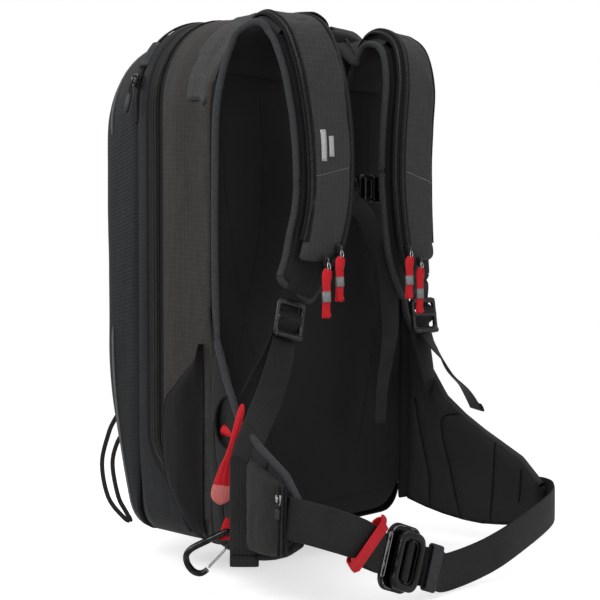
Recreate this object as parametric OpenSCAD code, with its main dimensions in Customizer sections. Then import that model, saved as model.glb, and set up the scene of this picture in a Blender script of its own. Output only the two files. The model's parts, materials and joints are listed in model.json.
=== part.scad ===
// Avalanche airbag backpack with a battery-driven blower, in millimetres.
// The origin is on the underside of the pack, +Z is up and -Y is towards the wearer.
// The wearer's right side is -X: modules take side = -1 for right and +1 for left.

/* [Pack body] */
// Width of the pack across the back panel
pack_w = 300; // [290:1:310]
// Height of the rear compartment that holds the airbag system
pack_h = 545; // [535:1:555]
// Depth of the rear compartment, from the frame sheet to the booster seam
rear_depth = 80; // [76:1:84]
// Depth of the booster gusset, from the seam to the zip
gusset_depth = 25; // [22:1:28]
// Depth of the booster's front shell
shell_depth = 64; // [60:1:68]
// Radius of the two top corners of the pack
top_r = 100; // [96:1:104]

/* [Back panel] */
// Thickness of the moulded foam back panel
panel_t = 12; // [10:1:14]

/* [Shoulder straps] */
// Width of a shoulder strap pad at the chest
strap_w = 76; // [72:1:80]
// Thickness of the foam in a shoulder strap pad
strap_t = 11; // [9:1:12]
// Thickness of the zipped sleeve in front of the pad
sleeve_t = 13; // [12:1:15]

/* [Hip belt] */
// Distance from a hip fin's hinge line to its tip
fin_len = 160; // [155:1:165]
// Outward splay of the hip fins, in degrees
fin_splay = 15; // [13:1:17]
// Height of the right fin's tip centre
right_tip_z = 62; // [55:1:66]
// Height of the left fin's tip centre
left_tip_z = 30; // [26:1:40]
// Width of the hip belt webbing
belt_w = 38; // [36:1:40]

/* [Buckle] */
// Centre of the buckle, left of the middle when negative
buckle_x = -82; // [-86:1:-78]
// Slope of the belt at the buckle, in degrees
buckle_tilt = 20; // [16:1:22]

/* [Airbag system] */
// Radius of the blower's impeller
impeller_r = 38; // [34:1:40]
// Number of impeller blades
blades = 11; // [7:1:15]
// Radius of the rotor shaft
shaft_r = 2.5; // [2:0.5:3]

/* [Hidden] */
$fn = 48;

wall = 1.6;
gap = 0.5;
seam_y = 1.5;
frame_y = -rear_depth - 1.5;
panel_y = frame_y - 2.5;
face_y = panel_y - panel_t;
zip_y = gusset_depth + 3;
shell_w = pack_w - 12;
shell_h = pack_h + 8;
zip_arc_x = shell_w / 2 - top_r;
zip_arc_z = shell_h - top_r;
base_h = 24;
side_top = pack_h - top_r;
fin_root = [pack_w / 2 + 5, face_y - 7];

// ---------------------------------------------------------------- helpers

function unit(v) = v / norm(v);
function catmull(a, b, c, d, t) = 0.5 * (2 * b + (c - a) * t
    + (2 * a - 5 * b + 4 * c - d) * t ^ 2 + (3 * b - a - 3 * c + d) * t ^ 3);
// A smooth curve through the points p, with n steps between neighbours.
function spline(p, n) = let (last = len(p) - 1) concat(
    [for (i = [0:last - 1]) for (k = [0:n - 1])
        catmull(p[max(i - 1, 0)], p[i], p[i + 1], p[min(i + 2, last)], k / n)],
    [p[last]]);
function tangent(p, i) = unit(p[min(i + 1, len(p) - 1)] - p[max(i - 1, 0)]);
// Value at fraction t of a list of evenly spaced values.
function blend(v, t) = let (s = t * (len(v) - 1), i = min(floor(s), len(v) - 2))
    v[i] + (v[i + 1] - v[i]) * (s - i);
// Unit cross-section of webbing and of a padded part.
flat_section = [[-1, -1], [1, -1], [1, 1], [-1, 1]];
pad_section = [for (a = [22.5:45:359]) [sign(cos(a)) * abs(cos(a)) ^ 0.35, sign(sin(a)) * abs(sin(a)) ^ 0.6]];
// One ring of a section, w wide along across and t thick along the path's normal.
function ring(c, along, across, w, t, section) = let (
    s = unit(across - along * (across * along)), n = cross(along, s))
    [for (q = section) c + s * q.x * w / 2 + n * q.y * t / 2];
function rings(path, across, w, t, section) = [for (i = [0:len(path) - 1])
    let (f = i / (len(path) - 1))
    ring(path[i], tangent(path, i), is_list(across[0]) ? unit(blend(across, f)) : across,
        blend(w, f), blend(t, f), section)];

// Skin over a row of sections. A curved end is closed by strips across it, from the section's
// point fold down.
module loft(sections, fold = -1) {
    n = len(sections[0]);
    m = len(sections);
    sides = [for (i = [0:m - 2]) for (k = [0:n - 1]) let (a = i * n + k, b = i * n + (k + 1) % n)
        each [[a, b + n, b], [a, a + n, b + n]]];
    flat_caps = [[for (k = [0:n - 1]) k], [for (k = [n - 1:-1:0]) (m - 1) * n + k]];
    strips = [for (end = [0, (m - 1) * n]) for (k = [0:n / 2 - 2]) let (
        r = end + (fold - k + n) % n, l = end + (fold + 1 + k) % n,
        r2 = end + (fold - k - 1 + n) % n, l2 = end + (fold + 2 + k) % n)
        each (end == 0 ? [[r, l, l2], [r, l2, r2]] : [[r, l2, l], [r, r2, l2]])];
    polyhedron([for (s = sections) each s], concat(sides, fold < 0 ? flat_caps : strips), convexity = 6);
}

// A strip of webbing along path, always w wide across the given direction.
module webbing(path, across, w, t = 1.8, steps = 5) {
    loft(rings(spline(path, steps), across, [w, w], [t, t], flat_section));
}

module sides() {
    for (side = [-1, 1]) scale_x(side) children();
}

module scale_x(side) {
    if (side < 0) mirror([1, 0, 0]) children();
    else children();
}

module rounded_plate(w, h, t, r) {
    translate([0, 0, -t / 2]) linear_extrude(t) offset(r) square([w - 2 * r, h - 2 * r], center = true);
}

// Rounded outline of a compartment, seen along Y.
module outline(w, z0, z1, r_top, r_low, inset = 0) {
    translate([0, z0 + inset]) hull() {
        for (side = [-1, 1]) {
            translate([side * (w / 2 - r_low), r_low - inset]) circle(r_low - inset);
            translate([side * (w / 2 - r_top), z1 - z0 - r_top - inset]) circle(r_top - inset, $fn = 96);
        }
    }
}

// Upright slab from y0 to y1 with a 2D outline in X and Z.
module upright(y0, y1) {
    translate([0, y1, 0]) rotate([90, 0, 0]) linear_extrude(y1 - y0) children();
}

module band(w, z1, y0, y1) {
    upright(y0, y1) difference() {
        outline(w, 0, z1, top_r, 30);
        outline(w, 0, z1, top_r, 30, wall);
    }
}

// ---------------------------------------------------------------- back and frame

module back_panel() {
    color("#1c1c1f") difference() {
        upright(panel_y - panel_t, panel_y) outline(pack_w, 6, pack_h - 3, 60, 45);
        upright(panel_y - panel_t - 1, panel_y - panel_t + 4) outline(pack_w - 90, 60, pack_h - 70, 50, 60);
    }
}

module frame_sheet() {
    color("#2c2c30") upright(frame_y - 2, frame_y) outline(pack_w - 24, 20, pack_h - 20, 70, 40);
}

module frame_stays() {
    color("silver") sides() translate([70, frame_y + 2.2, 40]) linear_extrude(pack_h - 120)
        square([12, 3], center = true);
}

// ---------------------------------------------------------------- rear compartment

module rear_band() {
    band(pack_w - 4, pack_h, frame_y + gap, seam_y - gap);
}

// The base panel's fabric turns up between the two compartments.
module base_panel() {
    color("#26262a") {
        intersection() {
            rear_band();
            translate([-pack_w, -pack_w, -1]) cube([2 * pack_w, 2 * pack_w, base_h + 1]);
        }
        upright(seam_y - gap - 1, seam_y - gap)
            outline(pack_w - 4 - 2 * (wall + gap), 0.5, pack_h - wall - gap, top_r, 30);
    }
}

module side_panels() {
    color("#38342f") intersection() {
        rear_band();
        translate([-pack_w, -pack_w, base_h + gap]) cube([2 * pack_w, 2 * pack_w, side_top - base_h - gap]);
    }
}

module burst_cover() {
    color("#2f2c2d") intersection() {
        rear_band();
        translate([-pack_w, -pack_w, side_top + gap]) cube([2 * pack_w, 2 * pack_w, top_r * 2]);
    }
}

// ---------------------------------------------------------------- booster

module booster_gusset() {
    color("#24242b") upright(seam_y + gap, zip_y - gap) difference() {
        outline(shell_w, 0, shell_h, top_r, 30);
        outline(shell_w, 0, shell_h, top_r, 30, wall);
    }
}

// Points of a rounded outline at a given inset, whose top drops by sag.
function shell_outline(inset, sag) = let (
    x = shell_w / 2, r = top_r - inset / 2, low = 30 - inset / 3)
    concat([for (a = [0:10:90]) [x - inset - r + r * cos(a), shell_h - sag - r + r * sin(a)]],
        [for (a = [90:10:180]) [-x + inset + r + r * cos(a), shell_h - sag - r + r * sin(a)]],
        [for (z = [380:-60:80]) [-x + inset, z]],
        [for (a = [180:15:270]) [-x + inset + low + low * cos(a), inset / 2 + low + low * sin(a)]],
        [for (a = [270:15:360]) [x - inset - low + low * cos(a), inset / 2 + low + low * sin(a)]],
        [for (z = [80:60:380]) [x - inset, z]]);
// How far the booster's face stands out from the zip at height z: it tapers towards the base.
function shell_reach(z) = let (t = min(1, max(0, z / 200))) shell_depth * (0.1 + 0.9 * (1 - (1 - t) ^ 1.8));

module shell_solid(thin) {
    steps = [[22, 60, 1], [10, 42, 0.93], [4, 30, 0.7], [1, 16, 0.25], [0, 0, 0]];
    loft([for (e = steps) [for (p = shell_outline(e.x + thin, e.y + thin))
        [p.x, zip_y - (e.z == 0 ? thin : 0) + (shell_reach(p.y) - thin) * e.z, p.y]]], fold = 9);
}

// The zip slider runs along this shell's rim, whose top corners are true arcs.
module front_shell() {
    color("#222229") difference() {
        shell_solid(0);
        shell_solid(wall);
    }
}

module side_pockets() {
    color("#171719") sides() translate([pack_w / 2 - 2 + gap, 0, 0]) rotate([90, 0, 90]) linear_extrude(2.5)
        polygon([[panel_y + gap, 30], [panel_y + gap, 212], [-76, 196], [-28, 154], [-20, 120],
            [-24, 70], [-50, 30]]);
}

module haul_loop() {
    path = [[-26, 4, -2], [-20, 2, 4], [0, 0, 7.5], [20, 2, 4], [26, 4, -2]];
    color("#1a1a1c") translate([0, panel_y - 5, pack_h + 3.2]) webbing(path, [0, 1, 0], 16);
}

// Daisy loop of webbing for skis or an ice axe, sewn to the booster's lower outside edge.
module ski_loop() {
    path = [[-116, 99, 118], [-121, 108, 96], [-124, 117, 62], [-120, 110, 22], [-108, 88, 0],
        [-114, 100, 26], [-117, 106, 62], [-112, 100, 88]];
    color("#1a1a1c") webbing(path, [0.75, 0.6, 0.1], 12, 1.6);
}

// ---------------------------------------------------------------- blower, airbag and electronics

blower_c = [0, -40, 318];
blower_r = impeller_r + 12;

// Everything in the blower turns about this axis, which runs along Y.
module at_blower(y = 0) {
    translate(blower_c + [0, y, 0]) rotate([90, 0, 0]) children();
}

module scroll_outline(grow) {
    hull() {
        circle(blower_r + grow);
        translate([-8, 6]) circle(blower_r - 4 + grow);
    }
    translate([-blower_r - grow + 2, 0]) square([34 + 2 * grow, blower_r + 14]);
}

module blower_casing() {
    color("#303236") at_blower() difference() {
        translate([0, 0, -18]) linear_extrude(34) scroll_outline(3);
        translate([0, 0, -15]) linear_extrude(40) scroll_outline(0);
        translate([0, 0, -20]) cylinder(r = 8.2, h = 10);
        translate([-blower_r + 19, blower_r + 8, 0]) rotate([-90, 0, 0]) cylinder(r = 13, h = 20);
    }
}

// The cover carries the intake grille.
module blower_cover() {
    grille_r = impeller_r * 0.6;
    color("#3a3c40") at_blower(-16.5) {
        difference() {
            linear_extrude(2.4) scroll_outline(3);
            translate([0, 0, -1]) cylinder(r = grille_r, h = 6);
            for (p = screw_places()) translate([p.x, p.y, -1]) cylinder(r = 1.7, h = 6);
        }
        for (a = [0:30:150])
            rotate(a) translate([-grille_r - 1, -0.7, 0.2]) cube([2 * grille_r + 2, 1.4, 1.6]);
        translate([0, 0, 0.2]) cylinder(r = 5, h = 1.6);
    }
}

function screw_places() = [for (a = [20:80:340]) [(blower_r - 3) * cos(a), (blower_r - 3) * sin(a)]];

module cover_screws() {
    color("silver") at_blower(-16.5) for (p = screw_places()) translate([p.x, p.y, 0]) {
        translate([0, 0, 0.2]) cylinder(r = 1.4, h = 2.2, $fn = 24);
        translate([0, 0, 2.4]) cylinder(r = 2.8, h = 1.6, $fn = 24);
    }
}

module motor() {
    color("#5c6066") at_blower(18.6) rotate([180, 0, 0]) difference() {
        union() {
            cylinder(r = 17, h = 16);
            cylinder(r = 21, h = 2);
        }
        translate([0, 0, -1]) cylinder(r = 6.6, h = 14);
    }
}

module bearings() {
    color("silver") for (y = [13.4, 21]) at_blower(y) difference() {
        translate([0, 0, -5]) cylinder(r = 6.5, h = 5);
        translate([0, 0, -6]) cylinder(r = shaft_r + 0.05, h = 7);
    }
}

module rotor_shaft() {
    color("silver") at_blower() translate([0, 0, -28]) cylinder(r = shaft_r, h = 38);
}

module impeller() {
    color("#d8dadd") at_blower(-4) rotate([180, 0, 0]) translate([0, 0, -1]) difference() {
        union() {
            cylinder(r = impeller_r, h = 2);
            translate([0, 0, -9]) cylinder(r = 9, h = 11);
            for (i = [0:blades - 1]) rotate(i * 360 / blades) translate([impeller_r * 0.42, 0, -9])
                rotate(35) translate([0, -0.8, 0]) cube([impeller_r * 0.58, 1.6, 10]);
        }
        translate([0, 0, -10]) cylinder(r = shaft_r, h = 14);
    }
}

duct_c = [-blower_r + 19, blower_c.y, blower_c.z + blower_r + 12];

module outlet_duct() {
    color("#202226") translate(duct_c) translate([0, 0, 2.5]) difference() {
        cylinder(r = 15.5, h = 24);
        translate([0, 0, -1]) cylinder(r = 13, h = 26);
        translate([-17, -16, 18]) cube([34, 4, 10]);
    }
}

module valve_flap() {
    color("#8c3030") translate(duct_c) translate([0, 0, 14]) {
        cylinder(r = 11.8, h = 1.5);
        translate([0, 11, 0.75]) rotate([0, 90, 0]) cylinder(r = 1.2, h = 8, center = true, $fn = 24);
    }
}

module folded_airbag() {
    z0 = duct_c.z + 28;
    color("#c8401c") hull() for (side = [-1, 1], y = [-58, -22], z = [z0 + 14, pack_h - 24])
        translate([side * (z > z0 + 20 ? 70 : 96), y, z]) sphere(13, $fn = 24);
}

module battery_pack() {
    color("#2a5c8c") translate([62, -54, 150]) rotate([90, 0, 0]) rounded_plate(74, 128, 38, 8);
}

box_c = [-58, -54, 150];

module control_box() {
    color("#2d2f33") translate(box_c) difference() {
        rotate([90, 0, 0]) rounded_plate(92, 120, 34, 8);
        translate([0, 3, 0]) rotate([90, 0, 0]) rounded_plate(86, 114, 34, 6);
    }
}

module control_lid() {
    color("#3b3d42") translate(box_c + [0, 19, 0]) difference() {
        rotate([90, 0, 0]) rounded_plate(92, 120, 2.4, 8);
        translate([0, 0, 36]) rotate([90, 0, 0]) cylinder(r = 7.2, h = 12, center = true);
    }
}

module power_button() {
    color("#d01820") translate(box_c + [0, 17, 36]) rotate([-90, 0, 0]) {
        cylinder(r = 6.8, h = 6);
        translate([0, 0, -2]) cylinder(r = 9, h = 2.4);
    }
}

// ---------------------------------------------------------------- shoulder straps

// Centre line of a shoulder strap pad, from the yoke over the shoulder to the ladder lock.
strap_path = [[92, face_y - 8, 478], [91, face_y - 11, 506], [88, -119, 519], [84, -134, 522],
    [81, -150, 511], [77, -160, 480], [70, -163, 440], [66, -164, 392], [69, -164, 340], [82, -160, 292],
    [98, -156, 262]];
strap_across = [[1, 0, 0], [1, 0.2, 0], [1, 0.05, 0], [1, 0, 0.12], [1, 0.05, 0.38]];
strap_steps = 4;
strap_last = (len(strap_path) - 1) * strap_steps;
sleeve_from = 9;
sleeve_to = strap_last - 3;
sleeve_lift = (strap_t + sleeve_t) / 2 + 1.8;

strap_curve = spline(strap_path, strap_steps);
function strap_side(i) = unit(blend(strap_across, i / strap_last));
function strap_front(i) = unit(cross(tangent(strap_curve, i), strap_side(i)));

// A stretch of the strap, moved off the pad's centre line by lift towards the front.
function strap_rings(from, to, lift, w, t) = [for (i = [from:to]) let (g = (i - from) / (to - from))
    ring(strap_curve[i] + strap_front(i) * lift, tangent(strap_curve, i), strap_side(i),
        blend(w, g), blend(t, g), pad_section)];

module strap_pad(side) {
    color("#232326") scale_x(side) loft(strap_rings(0, strap_last, 0,
        [96, 84, 74, strap_w, strap_w, strap_w, 72, 42], [strap_t, strap_t]));
}

// The sleeve is hollow, so that the trigger handle or a radio fits inside.
module strap_sleeve(side) {
    color("#38363a") scale_x(side) difference() {
        loft(strap_rings(sleeve_from, sleeve_to, sleeve_lift,
            [52, 58, 62, 64, 64, 62, 54], [sleeve_t, sleeve_t]));
        loft(strap_rings(sleeve_from + 11, sleeve_to - 1, sleeve_lift,
            [46, 50, 52, 46], [sleeve_t - 3, sleeve_t - 3]));
    }
}

lock_c = [109, -157, 233];
lock_tilt = -14;
lock_yaw = 12;

module at_lock(side) {
    scale_x(side) translate(lock_c) rotate([0, lock_tilt, lock_yaw]) rotate([-8, 0, 0]) children();
}

module ladder_lock(side) {
    color("#3a3b3f") at_lock(side) difference() {
        union() {
            rotate([90, 0, 0]) rounded_plate(35, 40, 5, 6);
            translate([0, -2.5, -17]) rotate([0, 90, 0]) cylinder(r = 3, h = 33, center = true);
        }
        for (z = [9, -7]) translate([0, 0, z]) cube([26.5, 20, z > 0 ? 10 : 11], center = true);
    }
}

// Two lengths of webbing below the ladder lock: one sewn to the hip fin, and the free tail.
module adjuster_webbing(side) {
    sewn = [[146, -140, 152], [134, -145, 174], [121, -149, 197]];
    right_tail = [[122, -165, 200], [140, -167, 168], [172, -170, 128], [189, -174, 111], [191, -175, 97],
        [191, -175, 50], [191, -175, 4]];
    left_tail = [[122, -165, 200], [134, -165, 184], [152, -165, 164], [178, -165, 146], [192, -165, 132],
        [204, -165, 118]];
    right_faces = [[1, 0.1, 0.35], [1, -0.2, 0.5], [0.2, -0.9, 0.2],
        [-0.47, -0.88, 0], [-0.47, -0.88, 0], [-0.47, -0.88, 0]];
    left_faces = [[1, 0.1, 0.35], [0.6, 0.5, 0.5], [0.3, 0.9, 0.3], [0.1, 1, 0.2]];
    color("#1d1d1f") scale_x(side) {
        webbing(sewn, [1, 0.25, 0.45], 25);
        loft(rings(spline(side < 0 ? right_tail : left_tail, 4), side < 0 ? right_faces : left_faces,
            [25, 25], [1.8, 1.8], flat_section));
    }
}

// ---------------------------------------------------------------- strap zips

// Resting place of a slider near the sleeve's lower inner corner: inner is nearer the chest's centre.
function slider_place(inner, side) = inner ? [56 - 6 * side, -184.2, 303] : [75 - 6 * side, -183.6, 291];

module slider_body() {
    rotate([90, 0, 0]) rounded_plate(6.4, 10, 3.4, 2);
    translate([0, -2.6, -1]) cube([2, 2.4, 6], center = true);
}

module pull_tab(long) {
    translate([0, 0, -long / 2 - 3]) rotate([90, 0, 0]) rounded_plate(10, long, 2.6, 1);
    translate([0, 0, -2.5]) cube([1.6, 1, 5], center = true);
}

module strap_slider(side, inner) {
    color("#5a5b5e") scale_x(side) translate(slider_place(inner, side)) slider_body();
}

module strap_pull(side, inner) {
    color("#c8141e") scale_x(side) translate(slider_place(inner, side) + [0, -5.6, -1.2])
        pull_tab(inner ? 36 : 44);
}

// ---------------------------------------------------------------- trigger

function sleeve_point(i) = strap_curve[i] + strap_front(i) * sleeve_lift;
handle_c = sleeve_point(30);

module trigger_handle() {
    color("#d01820") translate(handle_c) rotate([2.5, 3.5, 0]) {
        translate([0, 0, -18]) rotate([90, 0, 0]) rounded_plate(32, 12, 6, 3);
        translate([0, 0, 2]) rotate([90, 0, 0]) rounded_plate(12, 32, 5.5, 2.5);
    }
}

// The cable ends in a fitting that the handle's wire plugs into.
module trigger_cable() {
    round_section = [for (a = [0:45:359]) [cos(a), sin(a)]];
    core = [for (i = [22:28]) sleeve_point(i)];
    color("#101012") {
        loft(rings(spline(core, 2), [1, 0, 0], [4, 4], [4, 4], round_section));
        translate(sleeve_point(28) + [0, 0, -4]) cylinder(r = 3.6, h = 10);
    }
}

// ---------------------------------------------------------------- sternum strap

sternum = [12, -151, 368];

module sternum_strap(side) {
    color("#1b1b1d") scale_x(side) {
        translate([side < 0 ? 31 : 62, sternum.y, sternum.z])
            cube([side < 0 ? 78 : 40, 1.8, 20], center = true);
        if (side > 0) {
            translate(sternum + [26, 0, 0]) rotate([90, 0, 0]) rounded_plate(15, 28, 5.2, 3);
            translate(sternum + [14, 0, 0]) cube([12, 2.6, 12], center = true);
        }
    }
}

module sternum_socket() {
    color("#2c2d30") translate(sternum + [6, 0, 0]) difference() {
        rotate([90, 0, 0]) rounded_plate(22, 30, 7, 4);
        translate([5, 0, 0]) cube([22, 3.4, 14], center = true);
        translate([-8.5, 0, 0]) cube([9, 3, 22], center = true);
    }
}

// ---------------------------------------------------------------- hip belt

function tip_z(side) = side < 0 ? right_tip_z : left_tip_z;
function fin_place(side, t, off = 0) = let (d = fin_len * t)
    [side * (fin_root.x + d * sin(fin_splay) + off * cos(fin_splay)),
        fin_root.y - d * cos(fin_splay) + off * sin(fin_splay)];
function fin_top(side, t) = blend([222, 176, 140, 122, 108, 96, 84, 60], t) + (tip_z(side) - 46) * t;
function fin_low(side, t) = blend([14, 8, 4, 2, 2, 5, 10, 20], t) + (tip_z(side) - 46) * t;

module hip_fin(side) {
    color("#1f1f22") loft([for (i = [0:14]) let (
        t = i / 14, p = fin_place(side, t), hi = fin_top(side, t), lo = fin_low(side, t))
        ring([p.x, p.y, (hi + lo) / 2], [side * sin(fin_splay), -cos(fin_splay), 0], [0, 0, 1],
            hi - lo, 12 - 3 * t, pad_section)]);
}

// Zipped pocket on the outside of the right fin.
module hip_pocket() {
    color("#2b2b31") hull() for (t = [0.66, 0.93], z = [38, 88], off = [9, 16]) {
        p = fin_place(-1, t, off);
        translate([p.x, p.y, z - 16 * (t - 0.66)]) sphere(off > 10 ? 4 : 2, $fn = 16);
    }
}

pocket_zip = fin_place(-1, 0.93, 25);

module hip_zip_slider() {
    color("#8a8b8e") translate([pocket_zip.x, pocket_zip.y, 78]) rotate([0, 0, -90 + fin_splay]) {
        slider_body();
        translate([0, -5.2, -13]) rotate([90, 0, 0]) rounded_plate(4, 22, 1.6, 1);
    }
}

plate_c = [buckle_x, -282, 9];
belt_dir = [cos(buckle_tilt), 0, -sin(buckle_tilt)];
belt_up = [sin(buckle_tilt), 0, cos(buckle_tilt)];

module at_buckle(lift = 0) {
    translate(plate_c + [0, -lift, 0]) rotate([0, buckle_tilt, 0]) rotate([90, 0, 0]) children();
}

module belt_webbing(side) {
    tip = fin_place(side, 1, 0);
    out = fin_place(side, side < 0 ? 0.975 : 0.8, 7.6);
    over = fin_place(side, 1, 7.2);
    root = [out.x, out.y, tip_z(side)];
    bend = [over.x, over.y, tip_z(side)];
    color("#1c1c1e") if (side < 0)
        webbing([root, bend, [tip.x + 14, tip.y - 22, tip_z(side) - 9],
            plate_c - belt_dir * 62 + [0, -1, 6], plate_c - belt_dir * 32],
            [[0.1, 0, 1], [0.2, 0, 1], [0.364, 0, 1]], belt_w);
    else
        webbing([root, bend, [tip.x - 2, tip.y - 18, tip_z(side) - 4],
            [tip.x - 40, tip.y - 36, tip_z(side) - 8],
            [78, -302, 6], [28, -298, -6], plate_c + belt_dir * 62 + [0, -9.5, 0],
            plate_c + belt_dir * 44 + [0, -9.5, 0], plate_c + belt_dir * 27 + [0, -9.5, 0]],
            [[0, 0, 1], [0, 0, 1], [0, 0, 1], [0.12, 0, 1], [0.36, 0, 1], [0.364, 0, 1]], belt_w);
}

// Red webbing loop around the right belt webbing that the leg strap clips to.
module belt_loop() {
    color("#c8141e") translate(plate_c - belt_dir * 55 + [0, -1, 4]) rotate([0, buckle_tilt + 32, 0])
    difference() {
        cube([13, 11, 58], center = true);
        cube([20, 8, 55], center = true);
    }
}

// Rubber keeper around the left belt webbing beside the hook ring.
module belt_keeper() {
    place = plate_c + belt_dir * 38 + [0, -9.5, 0];
    color("#202024") translate(place) rotate([0, buckle_tilt, 0]) difference() {
        cube([16, 7, 45], center = true);
        cube([20, 4.4, 42], center = true);
    }
}

module buckle_plate() {
    color("#17181a") at_buckle() difference() {
        translate([0, 0, -1.5]) linear_extrude(3) hull() {
            translate([-12, 16]) circle(16);
            translate([10, 16]) circle(16);
            translate([-14, -18]) circle(14);
            translate([8, -20]) circle(12);
        }
        translate([-24, 0, 0]) cube([3.6, 41, 8], center = true);
        translate([16, 23, 0]) cube([8, 6, 8], center = true);
    }
}

module hook_ring() {
    color("#1b1c1f") at_buckle(6.5) translate([1, -1, 0]) difference() {
        union() {
            rounded_plate(40, 56, 6, 12);
            translate([0, 0, 1]) rounded_plate(34, 50, 7, 11);
        }
        rounded_plate(24, 42, 12, 6);
    }
    color("#1b1c1f") at_buckle(6.5) translate([1, -1, 0]) cube([6, 43, 3], center = true);
}

// ---------------------------------------------------------------- leg strap and carabiner

module leg_strap_tab() {
    path = [[-172, -143, 150], [-176, -142, 128], [-180, -146, 108], [-181, -141, 86], [-181, -139, 66]];
    color("#c8141e") loft(rings(spline(path, 3), [0.73, -0.68, 0], [7, 6, 5, 12, 20], [2, 2], flat_section));
}

carabiner_eye = [-183.5, -147, 24];

// The carabiner hangs from its eye in an upright plane, leaning away from the wearer.
module at_carabiner() {
    translate(carabiner_eye) rotate([0, 0, -43]) rotate([90, 0, 0]) rotate([0, 0, -50]) children();
}

module carabiner_outline(grow) {
    hull() {
        translate([0, 3]) circle(6 + grow);
        translate([-9, -35]) circle(7 + grow);
        translate([7, -39]) circle(5 + grow);
    }
}

module carabiner() {
    color("#222326") at_carabiner() difference() {
        translate([0, 0, -3.5]) linear_extrude(7) carabiner_outline(1);
        translate([0, 0, -8]) linear_extrude(16) carabiner_outline(-4.5);
        translate([10, -18, 0]) rotate([0, 0, 4]) cube([16, 24, 20], center = true);
    }
}

module carabiner_gate() {
    color("silver") at_carabiner() translate([8.6, -18, 0]) rotate([0, 0, 4]) difference() {
        rounded_plate(3, 22, 6, 1.2);
        cube([8, 17, 3], center = true);
    }
}

// ---------------------------------------------------------------- booster zip slider

slider_rest = 16;

module booster_zip_slider() {
    color("#2e2f33") translate([-zip_arc_x, zip_y, zip_arc_z]) rotate([0, slider_rest, 0])
        translate([-top_r - 5.4, 0, 0]) rotate([0, 0, -90]) {
            slider_body();
            translate([0, -5.2, -14]) rotate([90, 0, 0]) rounded_plate(4, 22, 1.6, 1);
        }
}

back_panel();
frame_sheet();
frame_stays();
base_panel();
side_panels();
burst_cover();
booster_gusset();
front_shell();
side_pockets();
haul_loop();
ski_loop();
blower_casing();
blower_cover();
cover_screws();
motor();
bearings();
rotor_shaft();
impeller();
outlet_duct();
valve_flap();
folded_airbag();
battery_pack();
control_box();
control_lid();
power_button();
trigger_cable();
trigger_handle();
strap_pad(-1);  // strap_pad_right
strap_pad(1);  // strap_pad_left
strap_sleeve(-1);  // strap_sleeve_right
strap_sleeve(1);  // strap_sleeve_left
ladder_lock(-1);  // ladder_lock_right
ladder_lock(1);  // ladder_lock_left
adjuster_webbing(-1);  // adjuster_webbing_right
adjuster_webbing(1);  // adjuster_webbing_left
strap_slider(-1, true);  // inner_slider_right
strap_slider(-1, false);  // outer_slider_right
strap_slider(1, true);  // inner_slider_left
strap_slider(1, false);  // outer_slider_left
strap_pull(-1, true);  // inner_pull_right
strap_pull(-1, false);  // outer_pull_right
strap_pull(1, true);  // inner_pull_left
strap_pull(1, false);  // outer_pull_left
sternum_strap(-1);  // sternum_strap_right
sternum_strap(1);  // sternum_strap_left
sternum_socket();
hip_fin(-1);  // hip_fin_right
hip_fin(1);  // hip_fin_left
hip_pocket();
hip_zip_slider();
belt_webbing(-1);  // belt_webbing_right
belt_webbing(1);  // belt_webbing_left
belt_loop();
belt_keeper();
buckle_plate();
hook_ring();
leg_strap_tab();
carabiner();
carabiner_gate();
booster_zip_slider();
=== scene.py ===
"""Looks of the avalanche airbag backpack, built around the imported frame.

Lengths are in millimetres until a mesh is made, which is in metres. +Z is up and -Y is towards the wearer.
side is -1 for the wearer's right, which faces the camera, and +1 for the left.
"""
import json
import math

import bmesh
import bpy
from mathutils import Matrix, Vector, noise
from mathutils.bvhtree import BVHTree
from mathutils.kdtree import KDTree


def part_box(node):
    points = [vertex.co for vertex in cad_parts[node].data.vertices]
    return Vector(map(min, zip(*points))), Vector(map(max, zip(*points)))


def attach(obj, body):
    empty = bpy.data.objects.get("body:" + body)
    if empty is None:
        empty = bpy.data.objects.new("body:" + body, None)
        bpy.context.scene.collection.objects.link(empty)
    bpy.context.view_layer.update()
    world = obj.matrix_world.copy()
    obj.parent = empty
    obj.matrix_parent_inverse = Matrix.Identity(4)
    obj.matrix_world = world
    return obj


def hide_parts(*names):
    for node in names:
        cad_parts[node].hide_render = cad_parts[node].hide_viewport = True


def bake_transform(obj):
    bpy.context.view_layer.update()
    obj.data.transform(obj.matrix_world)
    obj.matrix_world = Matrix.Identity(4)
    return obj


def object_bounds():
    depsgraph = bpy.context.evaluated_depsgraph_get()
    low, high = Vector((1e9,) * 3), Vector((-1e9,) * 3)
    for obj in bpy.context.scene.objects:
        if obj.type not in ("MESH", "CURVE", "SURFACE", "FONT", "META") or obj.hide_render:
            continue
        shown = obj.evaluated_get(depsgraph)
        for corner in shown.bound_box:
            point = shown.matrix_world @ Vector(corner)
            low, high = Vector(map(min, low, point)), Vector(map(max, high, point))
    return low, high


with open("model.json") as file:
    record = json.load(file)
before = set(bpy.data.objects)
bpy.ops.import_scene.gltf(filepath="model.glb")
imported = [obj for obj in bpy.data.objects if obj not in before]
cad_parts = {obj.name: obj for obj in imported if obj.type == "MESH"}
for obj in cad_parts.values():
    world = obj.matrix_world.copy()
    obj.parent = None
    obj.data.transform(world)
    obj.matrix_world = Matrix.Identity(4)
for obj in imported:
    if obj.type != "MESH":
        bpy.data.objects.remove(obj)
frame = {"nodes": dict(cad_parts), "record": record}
cad_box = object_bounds()

MM = 0.001
SIDES = {"right": -1, "left": 1}
SIM_FRAMES = 20
BINDING_RADIUS = 3.6
SKIN_THICK = 1.2
FINE_STITCH = (1.6, 2.4, 0.38)
EDGE_STITCH = (2.2, 4.2, 0.35)


# ---------------------------------------------------------------- curves and sections

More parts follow.
